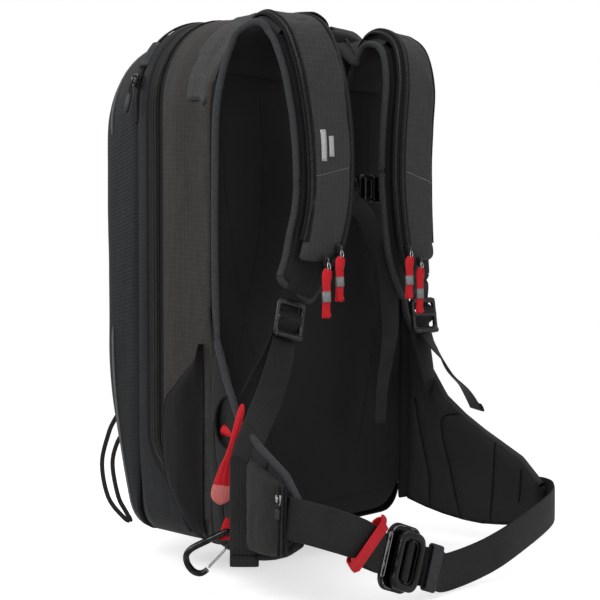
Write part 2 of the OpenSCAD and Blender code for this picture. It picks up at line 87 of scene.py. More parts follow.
def mix(values, f):
    """Value at fraction f of a list of evenly spaced numbers or vectors."""
    s = min(max(f, 0), 1) * (len(values) - 1)
    i = min(int(s), len(values) - 2)
    return values[i] + (values[i + 1] - values[i]) * (s - i)


def smooth(f):
    f = min(max(f, 0), 1)
    return f * f * (3 - 2 * f)


def catmull(points, steps):
    """A smooth curve through points, with a number of steps between neighbours."""
    p = [Vector(q) for q in points]
    curve = []
    for i in range(len(p) - 1):
        a, b, c, d = p[max(i - 1, 0)], p[i], p[i + 1], p[min(i + 2, len(p) - 1)]
        for k in range(steps):
            t = k / steps
            curve.append(0.5 * (2 * b + (c - a) * t + (2 * a - 5 * b + 4 * c - d) * t * t
                                + (3 * b - a - 3 * c + d) * t ** 3))
    return curve + [p[-1]]


def tangents(path, closed=False):
    n = len(path)
    if closed:
        return [(path[(i + 1) % n] - path[i - 1]).normalized() for i in range(n)]
    return [(path[min(i + 1, n - 1)] - path[max(i - 1, 0)]).normalized() for i in range(n)]


def oval(count, flat=1.0, fat=1.0):
    """Unit section: an ellipse that squares up as its exponents fall below 1."""
    section = []
    for k in range(count):
        a = 2 * math.pi * k / count
        c, s = math.cos(a), math.sin(a)
        section.append((math.copysign(abs(c) ** flat, c), math.copysign(abs(s) ** fat, s)))
    return section


def sweep(path, across, width, thick, section, closed=False):
    """Rings of a section swept along path; across, width and thick are single values or lists."""
    rings = []
    for i, (p, t) in enumerate(zip(path, tangents(path, closed))):
        f = i / (len(path) - 1)
        a = mix(across, f) if isinstance(across, list) else Vector(across)
        s = (a - t * a.dot(t)).normalized()
        n = t.cross(s)
        w = mix(width, f) if isinstance(width, list) else width
        h = mix(thick, f) if isinstance(thick, list) else thick
        rings.append([p + s * (x * w / 2) + n * (y * h / 2) for x, y in section])
    return rings


# ---------------------------------------------------------------- meshes

def loft(name, rings, closed=False):
    """Mesh object over rings of points, with UVs in metres: u round the ring and v along."""
    n, m = len(rings[0]), len(rings)
    verts = [q * MM for ring in rings for q in ring]
    marks = range(0, n, max(n // 4, 1))
    along = [0.0]
    for i in range(1, m + 1):
        a, b = rings[i % m], rings[i - 1]
        step = sum((a[k] - b[k]).length for k in marks) / len(marks)
        along.append(along[-1] + step * MM)
    middle = rings[m // 2]
    around = [0.0]
    for k in range(n):
        around.append(around[-1] + (middle[(k + 1) % n] - middle[k]).length * MM)
    faces, uvs = [], []
    for i in range(m if closed else m - 1):
        j = (i + 1) % m
        for k in range(n):
            q = (k + 1) % n
            faces.append((i * n + k, i * n + q, j * n + q, j * n + k))
            uvs += [(around[k], along[i]), (around[k + 1], along[i]),
                    (around[k + 1], along[i + 1]), (around[k], along[i + 1])]
    if not closed:
        # Each end is closed by strips across it, from a point of the ring to the one opposite.
        for end in (0, m - 1):
            for k in range(n // 2 - 1):
                strip = (k, k + 1, n - 2 - k, n - 1 - k)
                strip = strip if end else strip[::-1]
                faces.append(tuple(end * n + q for q in strip))
                uvs += [(around[q], along[end]) for q in strip]
    return make_mesh(name, verts, faces, uvs)


def grid(name, rows, wrap=False):
    """Open sheet over rows of points in millimetres, with UVs in metres."""
    m, n = len(rows), len(rows[0])
    verts = [q * MM for row in rows for q in row]
    u = [0.0]
    for k in range(1, n + 1):
        u.append(u[-1] + (rows[m // 2][k % n] - rows[m // 2][k - 1]).length * MM)
    v = [0.0]
    for i in range(1, m):
        v.append(v[-1] + (rows[i][n // 2] - rows[i - 1][n // 2]).length * MM)
    faces, uvs = [], []
    for i in range(m - 1):
        for k in range(n if wrap else n - 1):
            q = (k + 1) % n
            faces.append((i * n + k, i * n + q, (i + 1) * n + q, (i + 1) * n + k))
            uvs += [(u[k], v[i]), (u[k + 1], v[i]), (u[k + 1], v[i + 1]), (u[k], v[i + 1])]
    return make_mesh(name, verts, faces, uvs)


def make_mesh(name, verts, faces, uvs=None):
    mesh = bpy.data.meshes.new(name)
    mesh.from_pydata([tuple(p) for p in verts], [], faces)
    if uvs:
        layer = mesh.uv_layers.new(name="UVMap")
        layer.data.foreach_set("uv", [c for uv in uvs for c in uv])
    mesh.validate()
    mesh.update()
    for poly in mesh.polygons:
        poly.use_smooth = True
    obj = bpy.data.objects.new(name, mesh)
    bpy.context.scene.collection.objects.link(obj)
    return obj


def face_outwards(obj):
    """Points every face of a closed mesh away from its inside."""
    bm = bmesh.new()
    bm.from_mesh(obj.data)
    bmesh.ops.recalc_face_normals(bm, faces=bm.faces)
    bm.to_mesh(obj.data)
    bm.free()


def solid(name, rings, closed=False):
    """Closed mesh over rings of points, with its faces outwards."""
    obj = loft(name, rings, closed)
    face_outwards(obj)
    return obj


def carry(obj, place):
    """Moves a closed mesh by the matrix place and points its faces outwards again."""
    obj.data.transform(place)
    face_outwards(obj)
    return obj


def face_towards(sheet, direction):
    """Turns an open sheet so that its faces look along a direction on the whole."""
    if sum(p.normal.dot(Vector(direction)) for p in sheet.data.polygons) < 0:
        sheet.data.flip_normals()


def join(name, objects):
    """Makes one object of several, keeping their materials and UVs."""
    with bpy.context.temp_override(active_object=objects[0], selected_editable_objects=objects):
        bpy.ops.object.join()
    objects[0].name = name
    return objects[0]


def add_modifier(obj, kind, **settings):
    mod = obj.modifiers.new(kind.lower(), kind)
    for key, value in settings.items():
        setattr(mod, key, value)
    return mod


def apply_modifiers(obj):
    depsgraph = bpy.context.evaluated_depsgraph_get()
    mesh = bpy.data.meshes.new_from_object(obj.evaluated_get(depsgraph), depsgraph=depsgraph)
    obj.modifiers.clear()
    obj.data = mesh


def modify(obj, kind, **settings):
    add_modifier(obj, kind, **settings)
    apply_modifiers(obj)


def thicken(sheet, thick, offset=-1):
    """Smooths an open sheet once, then gives it a thickness in millimetres."""
    modify(sheet, "SUBSURF", levels=1, render_levels=1)
    modify(sheet, "SOLIDIFY", thickness=thick * MM, offset=offset)


def box_uvs(obj):
    """UVs in metres, projected along each face's main axis."""
    mesh = obj.data
    layer = mesh.uv_layers.get("UVMap") or mesh.uv_layers.new(name="UVMap")
    for poly in mesh.polygons:
        axis = max(range(3), key=lambda k: abs(poly.normal[k]))
        a, b = [k for k in range(3) if k != axis]
        for index in poly.loop_indices:
            co = mesh.vertices[mesh.loops[index].vertex_index].co
            layer.data[index].uv = (co[a], co[b])


def crumple(obj, amount, size, seed, stretch=(1, 1, 1)):
    """Moves the surface along its normals by smooth noise: amount and size in millimetres."""
    shift = Vector((seed * 7.3, seed * 3.1, seed * 5.7))
    scale = Vector(stretch) / (size * MM)
    normals = [vert.normal.copy() for vert in obj.data.vertices]
    for vert, normal in zip(obj.data.vertices, normals):
        place = Vector([a * b for a, b in zip(vert.co, scale)]) + shift
        vert.co += normal * (noise.fractal(place, 0.8, 2.1, 3) * amount * MM)
    obj.data.update()


def groove(obj, lines, width, depth):
    """Presses seams into a surface: each line is a list of points in millimetres."""
    points = [Vector(p) * MM for line in lines for p in line]
    tree = KDTree(len(points))
    for i, p in enumerate(points):
        tree.insert(p, i)
    tree.balance()
    normals = [vert.normal.copy() for vert in obj.data.vertices]
    for vert, normal in zip(obj.data.vertices, normals):
        _, _, distance = tree.find(vert.co)
        if distance < width * MM:
            vert.co -= normal * (depth * MM * (1 - smooth(distance / (width * MM))))
    obj.data.update()


def puff(obj, pressure, cap, voxel=5):
    """Swells a closed padded piece by cloth simulation, no point moving more than cap millimetres."""
    modify(obj, "REMESH", mode="VOXEL", voxel_size=voxel * MM, use_smooth_shade=True)
    scene = bpy.context.scene
    rest = [(v.co.copy(), v.normal.copy()) for v in obj.data.vertices]
    cloth = add_modifier(obj, "CLOTH").settings
    cloth.use_pressure = True
    cloth.uniform_pressure_force = pressure
    cloth.tension_stiffness = 25
    cloth.compression_stiffness = 12
    cloth.bending_stiffness = 0.6
    cloth.mass = 0.2
    cloth.effector_weights.gravity = 0
    scene.frame_start, scene.frame_end = 1, SIM_FRAMES
    for number in range(1, SIM_FRAMES + 1):
        scene.frame_set(number)
    apply_modifiers(obj)
    scene.frame_set(1)
    # Only the swelling is kept, so that the sewn edges stay where the bindings are.
    for vert, (start, normal) in zip(obj.data.vertices, rest):
        swell = (vert.co - start).dot(normal)
        vert.co = start + normal * min(max(swell, 0), cap * MM)
    add_modifier(obj, "SMOOTH", factor=0.5, iterations=3)
    add_modifier(obj, "SUBSURF", levels=1, render_levels=1)
    apply_modifiers(obj)
    box_uvs(obj)
    for poly in obj.data.polygons:
        poly.use_smooth = True
    return obj


def surface_of(obj):
    return BVHTree.FromPolygons([v.co for v in obj.data.vertices], [p.vertices for p in obj.data.polygons])


def lay(tree, points, out, gap=0.3):
    """Points moved along the direction out until they lie gap above a surface."""
    laid = []
    for p in points:
        hit = tree.ray_cast((p + out * 60) * MM, -out, 90 * MM)[0]
        laid.append(hit / MM + out * gap if hit else p)
    return laid


def plate(name, outer, holes, thick, bevel, place):
    """Flat plate with holes and rounded edges, drawn in its own XY plane and carried by the matrix place."""
    curve = bpy.data.curves.new(name, "CURVE")
    curve.dimensions = "2D"
    curve.fill_mode = "BOTH"
    for loop in [outer] + holes:
        spline = curve.splines.new("POLY")
        spline.points.add(len(loop) - 1)
        for point, (x, y) in zip(spline.points, loop):
            point.co = (x * MM, y * MM, 0, 1)
        spline.use_cyclic_u = True
    curve.extrude = (thick / 2 - bevel) * MM
    curve.bevel_depth = bevel * MM
    curve.bevel_resolution = 3
    curve.offset = -bevel * MM
    source = bpy.data.objects.new(name, curve)
    bpy.context.scene.collection.objects.link(source)
    mesh = bpy.data.meshes.new_from_object(source.evaluated_get(bpy.context.evaluated_depsgraph_get()))
    bpy.data.objects.remove(source)
    mesh.transform(place)
    obj = bpy.data.objects.new(name, mesh)
    bpy.context.scene.collection.objects.link(obj)
    bm = bmesh.new()
    bm.from_mesh(mesh)
    bmesh.ops.remove_doubles(bm, verts=bm.verts, dist=1e-6)
    bmesh.ops.recalc_face_normals(bm, faces=bm.faces)
    bm.to_mesh(mesh)
    bm.free()
    for poly in mesh.polygons:
        poly.use_smooth = len(poly.vertices) <= 4
    box_uvs(obj)
    return obj


def rounded(w, h, r, x=0, y=0, steps=6):
    """Points of a rounded rectangle centred on x, y."""
    points = []
    for k, (sx, sy) in enumerate(((1, 1), (-1, 1), (-1, -1), (1, -1))):
        for i in range(steps + 1):
            a = math.pi / 2 * (k + i / steps)
            points.append((x + sx * (w / 2 - r) + r * math.cos(a), y + sy * (h / 2 - r) + r * math.sin(a)))
    return points


def hull_of_circles(circles, steps=10):
    """Outline round circles given as (x, y, r)."""
    cloud = [(x + r * math.cos(a), y + r * math.sin(a))
             for x, y, r in circles for a in (2 * math.pi * k / (4 * steps) for k in range(4 * steps))]
    cloud.sort()

    def half(points):
        chain = []
        for p in points:
            while len(chain) > 1 and ((chain[-1][0] - chain[-2][0]) * (p[1] - chain[-2][1])
                                      - (chain[-1][1] - chain[-2][1]) * (p[0] - chain[-2][0])) <= 0:
                chain.pop()
            chain.append(p)
        return chain[:-1]
    return half(cloud) + half(cloud[::-1])


def tube(name, path, radius, closed=False, sides=8, across=(0, 0, 1), flat=1.0):
    """Round cord, or a flat one when flat is below 1."""
    return loft(name, sweep(path, across, 2 * radius, 2 * radius * flat, oval(sides), closed), closed=closed)


def stitches(name, path, long, pitch, radius):
    """A row of short threads along a path, each a small closed spindle."""
    verts, faces = [], []
    reach = 0.0
    for a, b in zip(path, path[1:]):
        span = (b - a).length
        while reach < span:
            t = (b - a).normalized()
            s = t.orthogonal().normalized()
            n = t.cross(s)
            c = a + t * reach
            base = len(verts)
            for f, r in ((-0.5, 0.35), (0, 1), (0.5, 0.35)):
                verts += [(c + t * long * f + (s * x + n * y) * radius * r) * MM
                          for x, y in ((1, 0), (0, 1), (-1, 0), (0, -1))]
            for i in (0, 4):
                faces += [(base + i + k, base + i + (k + 1) % 4, base + i + 4 + (k + 1) % 4, base + i + 4 + k)
                          for k in range(4)]
            faces += [(base + 3, base + 2, base + 1, base), (base + 8, base + 9, base + 10, base + 11)]
            reach += pitch
        reach -= span
    return make_mesh(name, verts, faces)


# ---------------------------------------------------------------- materials

class Look:
    """One material's nodes. A value may be a number, a colour or another node's output."""

    def __init__(self, name, **shader):
        self.mat = bpy.data.materials.new(name)
        self.mat.use_nodes = True
        self.tree = self.mat.node_tree
        self.shader = self.tree.nodes["Principled BSDF"]
        for key, value in shader.items():
            self.set(self.shader.inputs[key.replace("_", " ")], value)
        place = self.tree.nodes.new("ShaderNodeTexCoord")
        self.object = place.outputs["Object"]
        split = self.tree.nodes.new("ShaderNodeSeparateXYZ")
        self.tree.links.new(place.outputs["UV"], split.inputs[0])
        self.u = self.math("MULTIPLY", split.outputs[0], 1000)
        self.v = self.math("MULTIPLY", split.outputs[1], 1000)

    def set(self, socket, value):
        if isinstance(value, bpy.types.NodeSocket):
            self.tree.links.new(value, socket)
        elif isinstance(value, tuple):
            socket.default_value = (*value, 1)
        else:
            socket.default_value = value

    def math(self, operation, *values):
        node = self.tree.nodes.new("ShaderNodeMath")
        node.operation = operation
        for socket, value in zip(node.inputs, values):
            self.set(socket, value)
        return node.outputs[0]

    def ramp(self, value, low, high, to_low=0.0, to_high=1.0):
        node = self.tree.nodes.new("ShaderNodeMapRange")
        node.interpolation_type = "SMOOTHSTEP"
        for socket, number in zip(node.inputs, (value, low, high, to_low, to_high)):
            self.set(socket, number)
        return node.outputs[0]

    def noise(self, size, detail=3.0, stretch=(1, 1, 1)):
        """Smooth noise from 0 to 1 with features of the given size in millimetres."""
        scale = self.tree.nodes.new("ShaderNodeMapping")
        scale.inputs["Scale"].default_value = [1000 / size * k for k in stretch]
        self.tree.links.new(self.object, scale.inputs[0])
        node = self.tree.nodes.new("ShaderNodeTexNoise")
        node.inputs["Scale"].default_value = 1
        node.inputs["Detail"].default_value = detail
        self.tree.links.new(scale.outputs[0], node.inputs["Vector"])
        return node.outputs["Fac"]

    def lines(self, along, period, width):
        """1 on lines that repeat along a coordinate, 0 between them."""
        phase = self.math("PINGPONG", self.math("DIVIDE", along, period), 0.5)
        return self.ramp(phase, 0.25 * width / period, 0.75 * width / period, 1.0, 0.0)

    def wave(self, along, period):
        return self.math("SINE", self.math("MULTIPLY", along, 2 * math.pi / period))

    def mix(self, factor, a, b):
        node = self.tree.nodes.new("ShaderNodeMix")
        node.data_type = "RGBA"
        for index, value in ((0, factor), (6, a), (7, b)):
            self.set(node.inputs[index], value)
        return node.outputs[2]

    def bump(self, height, millimetres, strength=1.0):
        """Adds a height from 0 to 1 on top of the bumps set so far."""
        node = self.tree.nodes.new("ShaderNodeBump")
        node.inputs["Distance"].default_value = millimetres * MM
        node.inputs["Strength"].default_value = strength
        self.set(node.inputs["Height"], height)
        if self.shader.inputs["Normal"].links:
            self.tree.links.new(self.shader.inputs["Normal"].links[0].from_socket, node.inputs["Normal"])
        self.tree.links.new(node.outputs[0], self.shader.inputs["Normal"])

    def colour(self, value):
        self.set(self.shader.inputs["Base Color"], value)

    def worn(self, base, bare, amount=0.6):
        """Colour that rubs through to bare on convex edges, in patches."""
        geometry = self.tree.nodes.new("ShaderNodeNewGeometry")
        edge = self.ramp(geometry.outputs["Pointiness"], 0.52, 0.62)
        patch = self.ramp(self.noise(7, 4), 0.42, 0.6)
        return self.mix(self.math("MULTIPLY", self.math("MULTIPLY", edge, patch), amount), base, bare)


def grey(level, warm=0.0):
    """Linear colour from an sRGB level of 0 to 255, warmer or cooler by a few levels."""
    return tuple(((min(max(level + d, 0), 255)) / 255) ** 2.2 for d in (warm, 0, -warm))


def ripstop(name, dark, light, thread, warm, square=5.0):
    """Thin nylon with a raised grid of thicker threads and soft puckers between them."""
    look = Look(name, Roughness=0.6, Sheen_Weight=0.04, Sheen_Roughness=0.5, Specular_IOR_Level=0.25)
    grid = look.math("MAXIMUM", look.lines(look.u, square, 0.8), look.lines(look.v, square, 0.8))
    broken = look.math("MULTIPLY", grid, look.ramp(look.noise(9, 2), 0.35, 0.65, 0.25, 1.0))
    weave = look.math("MULTIPLY", look.wave(look.u, 0.9), look.wave(look.v, 0.9))
    tone = look.mix(look.noise(55, 4, (1, 1, 0.4)), grey(dark, warm), grey(light, warm))
    look.colour(look.mix(broken, tone, grey(thread, warm)))
    look.bump(look.noise(26, 4, (1.4, 1.4, 0.5)), 5, 0.5)
    look.bump(look.noise(5, 2), 0.5, 0.5)
    look.bump(weave, 0.12, 0.5)
    look.bump(grid, 0.25, 0.8)
    return look.mat


def plain_weave(name, dark, light, warm=0.0, pitch=1.0, ribs=0.0, crease=4.0, rough=0.65):
    """Woven cloth: pitch is the thread spacing, and ribs is the spacing of faint dobby ribs across it."""
    look = Look(name, Roughness=rough, Sheen_Weight=0.03, Sheen_Roughness=0.4, Specular_IOR_Level=0.25)
    weave = look.math("MULTIPLY", look.wave(look.u, pitch), look.wave(look.v, pitch))
    tone = look.mix(look.noise(45, 4), grey(dark, warm), grey(light, warm))
    if ribs:
        rib = look.lines(look.u, ribs, ribs * 0.3)
        tone = look.mix(look.math("MULTIPLY", rib, 0.4), tone, grey(light + 9, warm))
        look.bump(rib, 0.3, 0.6)
    look.colour(tone)
    look.bump(look.noise(30, 4, (1.3, 1.3, 0.5)), crease, 0.5)
    look.bump(weave, 0.15, 0.5)
    return look.mat


def webbing_look(name, colour, light):
    """Flat woven tape with ribs along it and fine picks across it."""
    look = Look(name, Roughness=0.55, Sheen_Weight=0.05, Sheen_Roughness=0.35, Specular_IOR_Level=0.3)
    ribs = look.math("ABSOLUTE", look.wave(look.u, 5.2))
    picks = look.wave(look.v, 1.3)
    tone = look.mix(look.math("MULTIPLY", look.noise(18, 4), look.ramp(ribs, 0, 0.6, 0.5, 1)), colour, light)
    look.colour(tone)
    look.bump(ribs, 0.35, 0.7)
    look.bump(picks, 0.2, 0.6)
    look.bump(look.noise(3, 2), 0.2, 0.4)
    return look.mat


def fuzzy(name, dark, light, rough=0.9):
    """Brushed knit tape or fleece-like lining with a soft bright edge."""
    look = Look(name, Roughness=rough, Sheen_Weight=0.15, Sheen_Roughness=0.3, Specular_IOR_Level=0.15)
    look.colour(look.mix(look.noise(2.5, 4), grey(dark, -1), grey(light, -1)))
    look.bump(look.noise(1.6, 4), 0.6, 0.7)
    look.bump(look.math("MULTIPLY", look.wave(look.u, 1.4), look.wave(look.v, 1.1)), 0.15, 0.5)
    return look.mat


def knit(name, dark, light, crease=3.0):
    """Stretch knit, almost smooth at arm's length."""
    look = Look(name, Roughness=0.78, Sheen_Weight=0.04, Sheen_Roughness=0.4, Specular_IOR_Level=0.15)
    loops = look.math("ABSOLUTE", look.math("ADD", look.wave(look.u, 1.6), look.wave(look.v, 1.6 * 0.7)))
    look.colour(look.mix(look.noise(60, 3), grey(dark), grey(light)))
    look.bump(look.noise(45, 3), crease, 0.45)
    look.bump(loops, 0.15, 0.4)
    return look.mat


def mesh_cloth(name, dark, light):
    """Open mesh of small round holes."""
    look = Look(name, Roughness=0.8)
    holes = look.math("MULTIPLY", look.wave(look.u, 2.4), look.wave(look.v, 2.4))
    look.colour(look.mix(look.ramp(holes, 0.1, 0.5), grey(light), grey(dark)))
    look.bump(look.ramp(holes, 0.1, 0.6, 1, 0), 0.5)
    return look.mat


def teeth(name, level):
    """Coil of a zip, ridged across its length."""
    look = Look(name, Roughness=0.35)
    ridge = look.wave(look.v, 1.6)
    look.colour(look.mix(look.ramp(ridge, -0.4, 0.6), grey(level * 0.45), grey(level)))
    look.bump(ridge, 0.5)
    return look.mat


def moulded(name, level, warm=0.0, rough=0.38, grain=0.12, wear=0.35):
    """Injection-moulded plastic: fine spark-eroded grain, rubbed lighter along its edges."""
    look = Look(name)
    look.colour(look.worn(look.mix(look.noise(12, 3), grey(level * 0.85, warm), grey(level, warm)),
                          grey(level + 70), wear))
    look.set(look.shader.inputs["Roughness"],
             look.ramp(look.noise(5, 4), 0.3, 0.7, rough - 0.08, rough + 0.1))
    look.bump(look.noise(0.6, 2), grain, 0.5)
    return look.mat


def metal(name, level, rough, bare=215, wear=0.8, coat=0.0):
    """Anodised or bare metal with brushed streaks and edges worn to bright metal."""
    look = Look(name, Metallic=0.85, Coat_Weight=coat)
    streak = look.noise(3, 3, (1, 1, 12))
    tone = look.mix(streak, grey(level * 0.8), grey(level * 1.15))
    look.colour(look.worn(tone, grey(bare), wear))
    look.set(look.shader.inputs["Roughness"], look.ramp(streak, 0.25, 0.75, rough - 0.06, rough + 0.1))
    look.bump(look.noise(1.2, 3), 0.03, 0.5)
    return look.mat


def reflective(name, level):
    """Grey retro-reflective print with glass-bead sparkle."""
    look = Look(name, Roughness=0.4, Metallic=0.35)
    look.colour(look.mix(look.ramp(look.noise(0.8, 2), 0.4, 0.6), grey(level), grey(level + 33)))
    look.bump(look.noise(0.8, 2), 0.1, 0.5)
    return look.mat


RED = (0.56, 0.004, 0.012)
RED_LIGHT = (0.72, 0.008, 0.02)
SALMON = (0.6, 0.11, 0.1)

LOOKS = {
    "side_ripstop": ripstop("side_ripstop", 41, 50, 60, 3),
    "strap_ripstop": ripstop("strap_ripstop", 52, 60, 68, 0, 6.0),
    "booster_dobby": plain_weave("booster_dobby", 23, 31, -2, ribs=4.0, rough=0.55),
    "top_weave": plain_weave("top_weave", 32, 41, 1, crease=5),
    "zip_tape": plain_weave("zip_tape", 17, 24, 0, pitch=1.2, ribs=1.8, crease=1, rough=0.5),
    "stretch": knit("stretch", 26, 36),
    "panel_knit": knit("panel_knit", 35, 44, crease=2),
    "fin_knit": knit("fin_knit", 41, 51),
    "mesh": mesh_cloth("mesh", 6, 26),
    "binding": fuzzy("binding", 48, 78),
    "piping": fuzzy("piping", 80, 118, 0.6),
    "dark_binding": fuzzy("dark_binding", 26, 44),
    # Near-black: painted shade of the seam creases, used on the fin seam cords and the back panel's stitch
    # rows.
    "seam": plain_weave("seam", 5, 9, pitch=0.5, crease=0.1),
    "webbing": webbing_look("webbing", grey(20), grey(38)),
    "red_webbing": webbing_look("red_webbing", RED, RED_LIGHT),
    "red_reflective": webbing_look("red_reflective", SALMON, (0.78, 0.26, 0.23)),
    "zip_teeth": teeth("zip_teeth", 44),
    "thread": plain_weave("thread", 46, 66, pitch=0.5, crease=0.1),
    "pale_thread": plain_weave("pale_thread", 150, 190, pitch=0.5, crease=0.1),
    "plastic": moulded("plastic", 38),
    "gloss_plastic": moulded("gloss_plastic", 26, rough=0.24, wear=0.5),
    "rubber": moulded("rubber", 42, -2, rough=0.6, grain=0.25, wear=0.15),
    "casing": moulded("casing", 52, rough=0.45),
    "white_plastic": moulded("white_plastic", 205, rough=0.4, wear=0.1),
    "red_plastic": moulded("red_plastic", 120, 90, rough=0.35, wear=0.2),
    "anodised": metal("anodised", 24, 0.3, coat=0.3),
    "bare_metal": metal("bare_metal", 190, 0.28, wear=0.2),
    "steel": metal("steel", 175, 0.2, wear=0.1),
    "gunmetal": metal("gunmetal", 62, 0.3, bare=150),
    "airbag_nylon": ripstop("airbag_nylon", 170, 190, 205, 70, 4.0),
    "reflective": reflective("reflective", 172),
    "pull_band": reflective("pull_band", 120),
}


def finish_with(obj, look):
    obj.data.materials.clear()
    obj.data.materials.append(LOOKS[look])
    return obj


def settle(obj, look, body, replaces=()):
    """Gives a finished piece its material, its body and the CAD nodes it stands for."""
    finish_with(obj, look)
    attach(obj, body)
    if replaces:
        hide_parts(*replaces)
    return obj


def settle_join(name, parts, body, replaces=(), look=None):
    """Joins parts, all of one look or each with its own already, and puts them on a body."""
    if look:
        for part in parts:
            finish_with(part, look)
    piece = join(name, parts)
    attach(piece, body)
    if replaces:
        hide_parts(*replaces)
    return piece


def link(obj, look, replaces=()):
    """Like settle, but on no body: gives a piece its material, bakes its place into its mesh and hides the
    CAD nodes it stands for.
    """
    finish_with(obj, look)
    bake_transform(obj)
    if replaces:
        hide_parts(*replaces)
    return obj


# ---------------------------------------------------------------- places read from the frame

def low(node):
    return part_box(node)[0] / MM


def high(node):
    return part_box(node)[1] / MM


def centre(node):
    return (low(node) + high(node)) / 2


BACK_HALF = high("back_panel").x
FACE_Y = low("back_panel").y
REAR_Y = high("back_panel").y
PANEL_TOP = high("back_panel").z
SIDE_TOP = high("side_panels").z
SHELL_HALF = high("front_shell").x
SHELL_TOP = high("front_shell").z
RIM_Y = low("front_shell").y
SHELL_DEPTH = high("front_shell").y - RIM_Y
CORNER = 100
ZIP_HALF = 9
SURROUND = 18.5


# ---------------------------------------------------------------- the bag's skin

def outline(half, top, inset=0.0, sag=0.0, corner=CORNER, foot=30.0):
    """Points (x, z) round a compartment from its left side over the top, with an outward direction each."""
    x, z = half - inset, top - sag
    r, f = corner - inset / 2, foot - inset / 3
    base = inset / 2
    points = []

    def arc(cx, cz, radius, start, steps):
        for k in range(steps):
            a = math.radians(start + 90 * k / steps)
            points.append((cx + radius * math.cos(a), cz + radius * math.sin(a), math.cos(a), math.sin(a)))

    def line(x0, z0, x1, z1, nx, nz, steps):
        for k in range(steps):
            points.append((x0 + (x1 - x0) * k / steps, z0 + (z1 - z0) * k / steps, nx, nz))

    arc(x - r, z - r, r, 0, 14)
    line(x - r, z, r - x, z, 0, 1, 12)
    arc(r - x, z - r, r, 90, 14)
    line(-x, z - r, -x, base + f, -1, 0, 36)
    arc(f - x, base + f, f, 180, 7)
    line(f - x, base, x - f, base, 0, -1, 16)
    arc(x - f, base + f, f, 270, 7)
    line(x, base + f, x, z - r, 1, 0, 36)
    return points


def seam_shift(z):
    """How far the zip seam lies nearer the wearer at height z: it sweeps under the pack near the base."""
    return -72 * smooth((110 - z) / 100) ** 1.15


def reach(z):
    """How far the booster's face stands out from its rim at height z."""
    return SHELL_DEPTH * (0.1 + 0.9 * (1 - (1 - min(max(z / 200, 0), 1)) ** 1.8))


def fold_noise(x, y, z, seed):
    """Long soft upright folds, from about -1 to 1."""
    return noise.fractal(Vector((x / 70 + seed, y / 26, z / 150)), 0.7, 2.0, 4)


# Rows of the skin from the back panel's edge outwards: depth, half width, top, how freely the cloth moves.
REAR_ROWS = [(FACE_Y + 4, 150.6, 542.5, 0), (FACE_Y + 6, 151.6, 543.5, 0), (REAR_Y - 2, 151.8, 545, 0.2),
             (REAR_Y + 4, 151.4, 545.5, 0.5), (-72, 151, 546, 1), (-60, 151.8, 547.5, 1.4),
             (-48, 152, 549, 1.6), (-38, 151.5, 550, 1.5), (-28, 150.8, 551, 0.9), (-21, 150, 551.5, 0.3),
             (-SURROUND, 149, 551, 0)]
ZIP_ROWS = [(-SURROUND, 149, 551, 0), (-17, 147.6, 549.8, 0), (-15, 149, 551.2, 0), (-12, 149.2, 551.6, 0),
            (-9.5, 147.6, 551, 0), (-7.6, 145.4, 549.5, 0), (-6, 146.6, 551, 0), (-3.5, 147.2, 551.8, 0),
            (-1, 146.4, 551.2, 0), (0, 144.8, 549.8, 0), (1, 146.4, 551.4, 0), (3.5, 147.2, 552.2, 0),
            (6, 146.6, 551.8, 0), (7.6, 145.2, 550.6, 0), (ZIP_HALF, 147, 552, 0)]
GUSSET_ROWS = [(ZIP_HALF, 147, 552, 0), (13, 147.6, 553.5, 0.4), (18, 147.2, 554, 0.6), (23, 146, 553.5, 0.4),
               (RIM_Y - 2, 144.6, 552, 0)]


def bag_ring(y, half, top, free, seed):
    """One row of the rear skin, with its depth swept forward near the base."""
    ring = []
    for x, z, nx, nz in outline(half, top):
        shift = seam_shift(z)
        if y <= REAR_Y:
            depth = y
        elif y <= -ZIP_HALF:
            depth = REAR_Y + (y - REAR_Y) * (-ZIP_HALF + shift - REAR_Y) / (-ZIP_HALF - REAR_Y)
        elif y < ZIP_HALF:
            depth = y + shift
        else:
            depth = y + shift * (RIM_Y - y) / (RIM_Y - ZIP_HALF)
        swell = fold_noise(x, y, z, seed) * free * 1.5
        ring.append(Vector((x + nx * swell, depth, z + nz * swell)))
    return ring


def shell_ring(share, inset, sag, free, seed):
    """One row of the booster's front shell at a share of its reach."""
    ring = []
    for x, z, nx, nz in outline(SHELL_HALF, SHELL_TOP, inset, sag):
        swell = fold_noise(x, share * 60, z, seed) * free * 1.6
        drop = 2.2 * free * smooth((z - 400) / 80)
        ring.append(Vector((x + nx * swell, RIM_Y + reach(z) * share + swell * 0.6, z + nz * swell + drop)))
    return ring


def skin(name, rows, span=None):
    """Cloth over rows of points; span keeps a part of each row, counted from the start of the outline."""
    wrap = span is None
    if span:
        count = len(rows[0])
        rows = [[row[k % count] for k in range(span[0], span[1] + 1)] for row in rows]
    obj = grid(name, rows, wrap)
    middle = Vector((0, sum(r[0].y for r in rows) / len(rows), 280)) * MM
    if sum(p.normal.dot(p.center - middle) * p.area for p in obj.data.polygons) < 0:
        obj.data.flip_normals()
    thicken(obj, SKIN_THICK)
    return obj


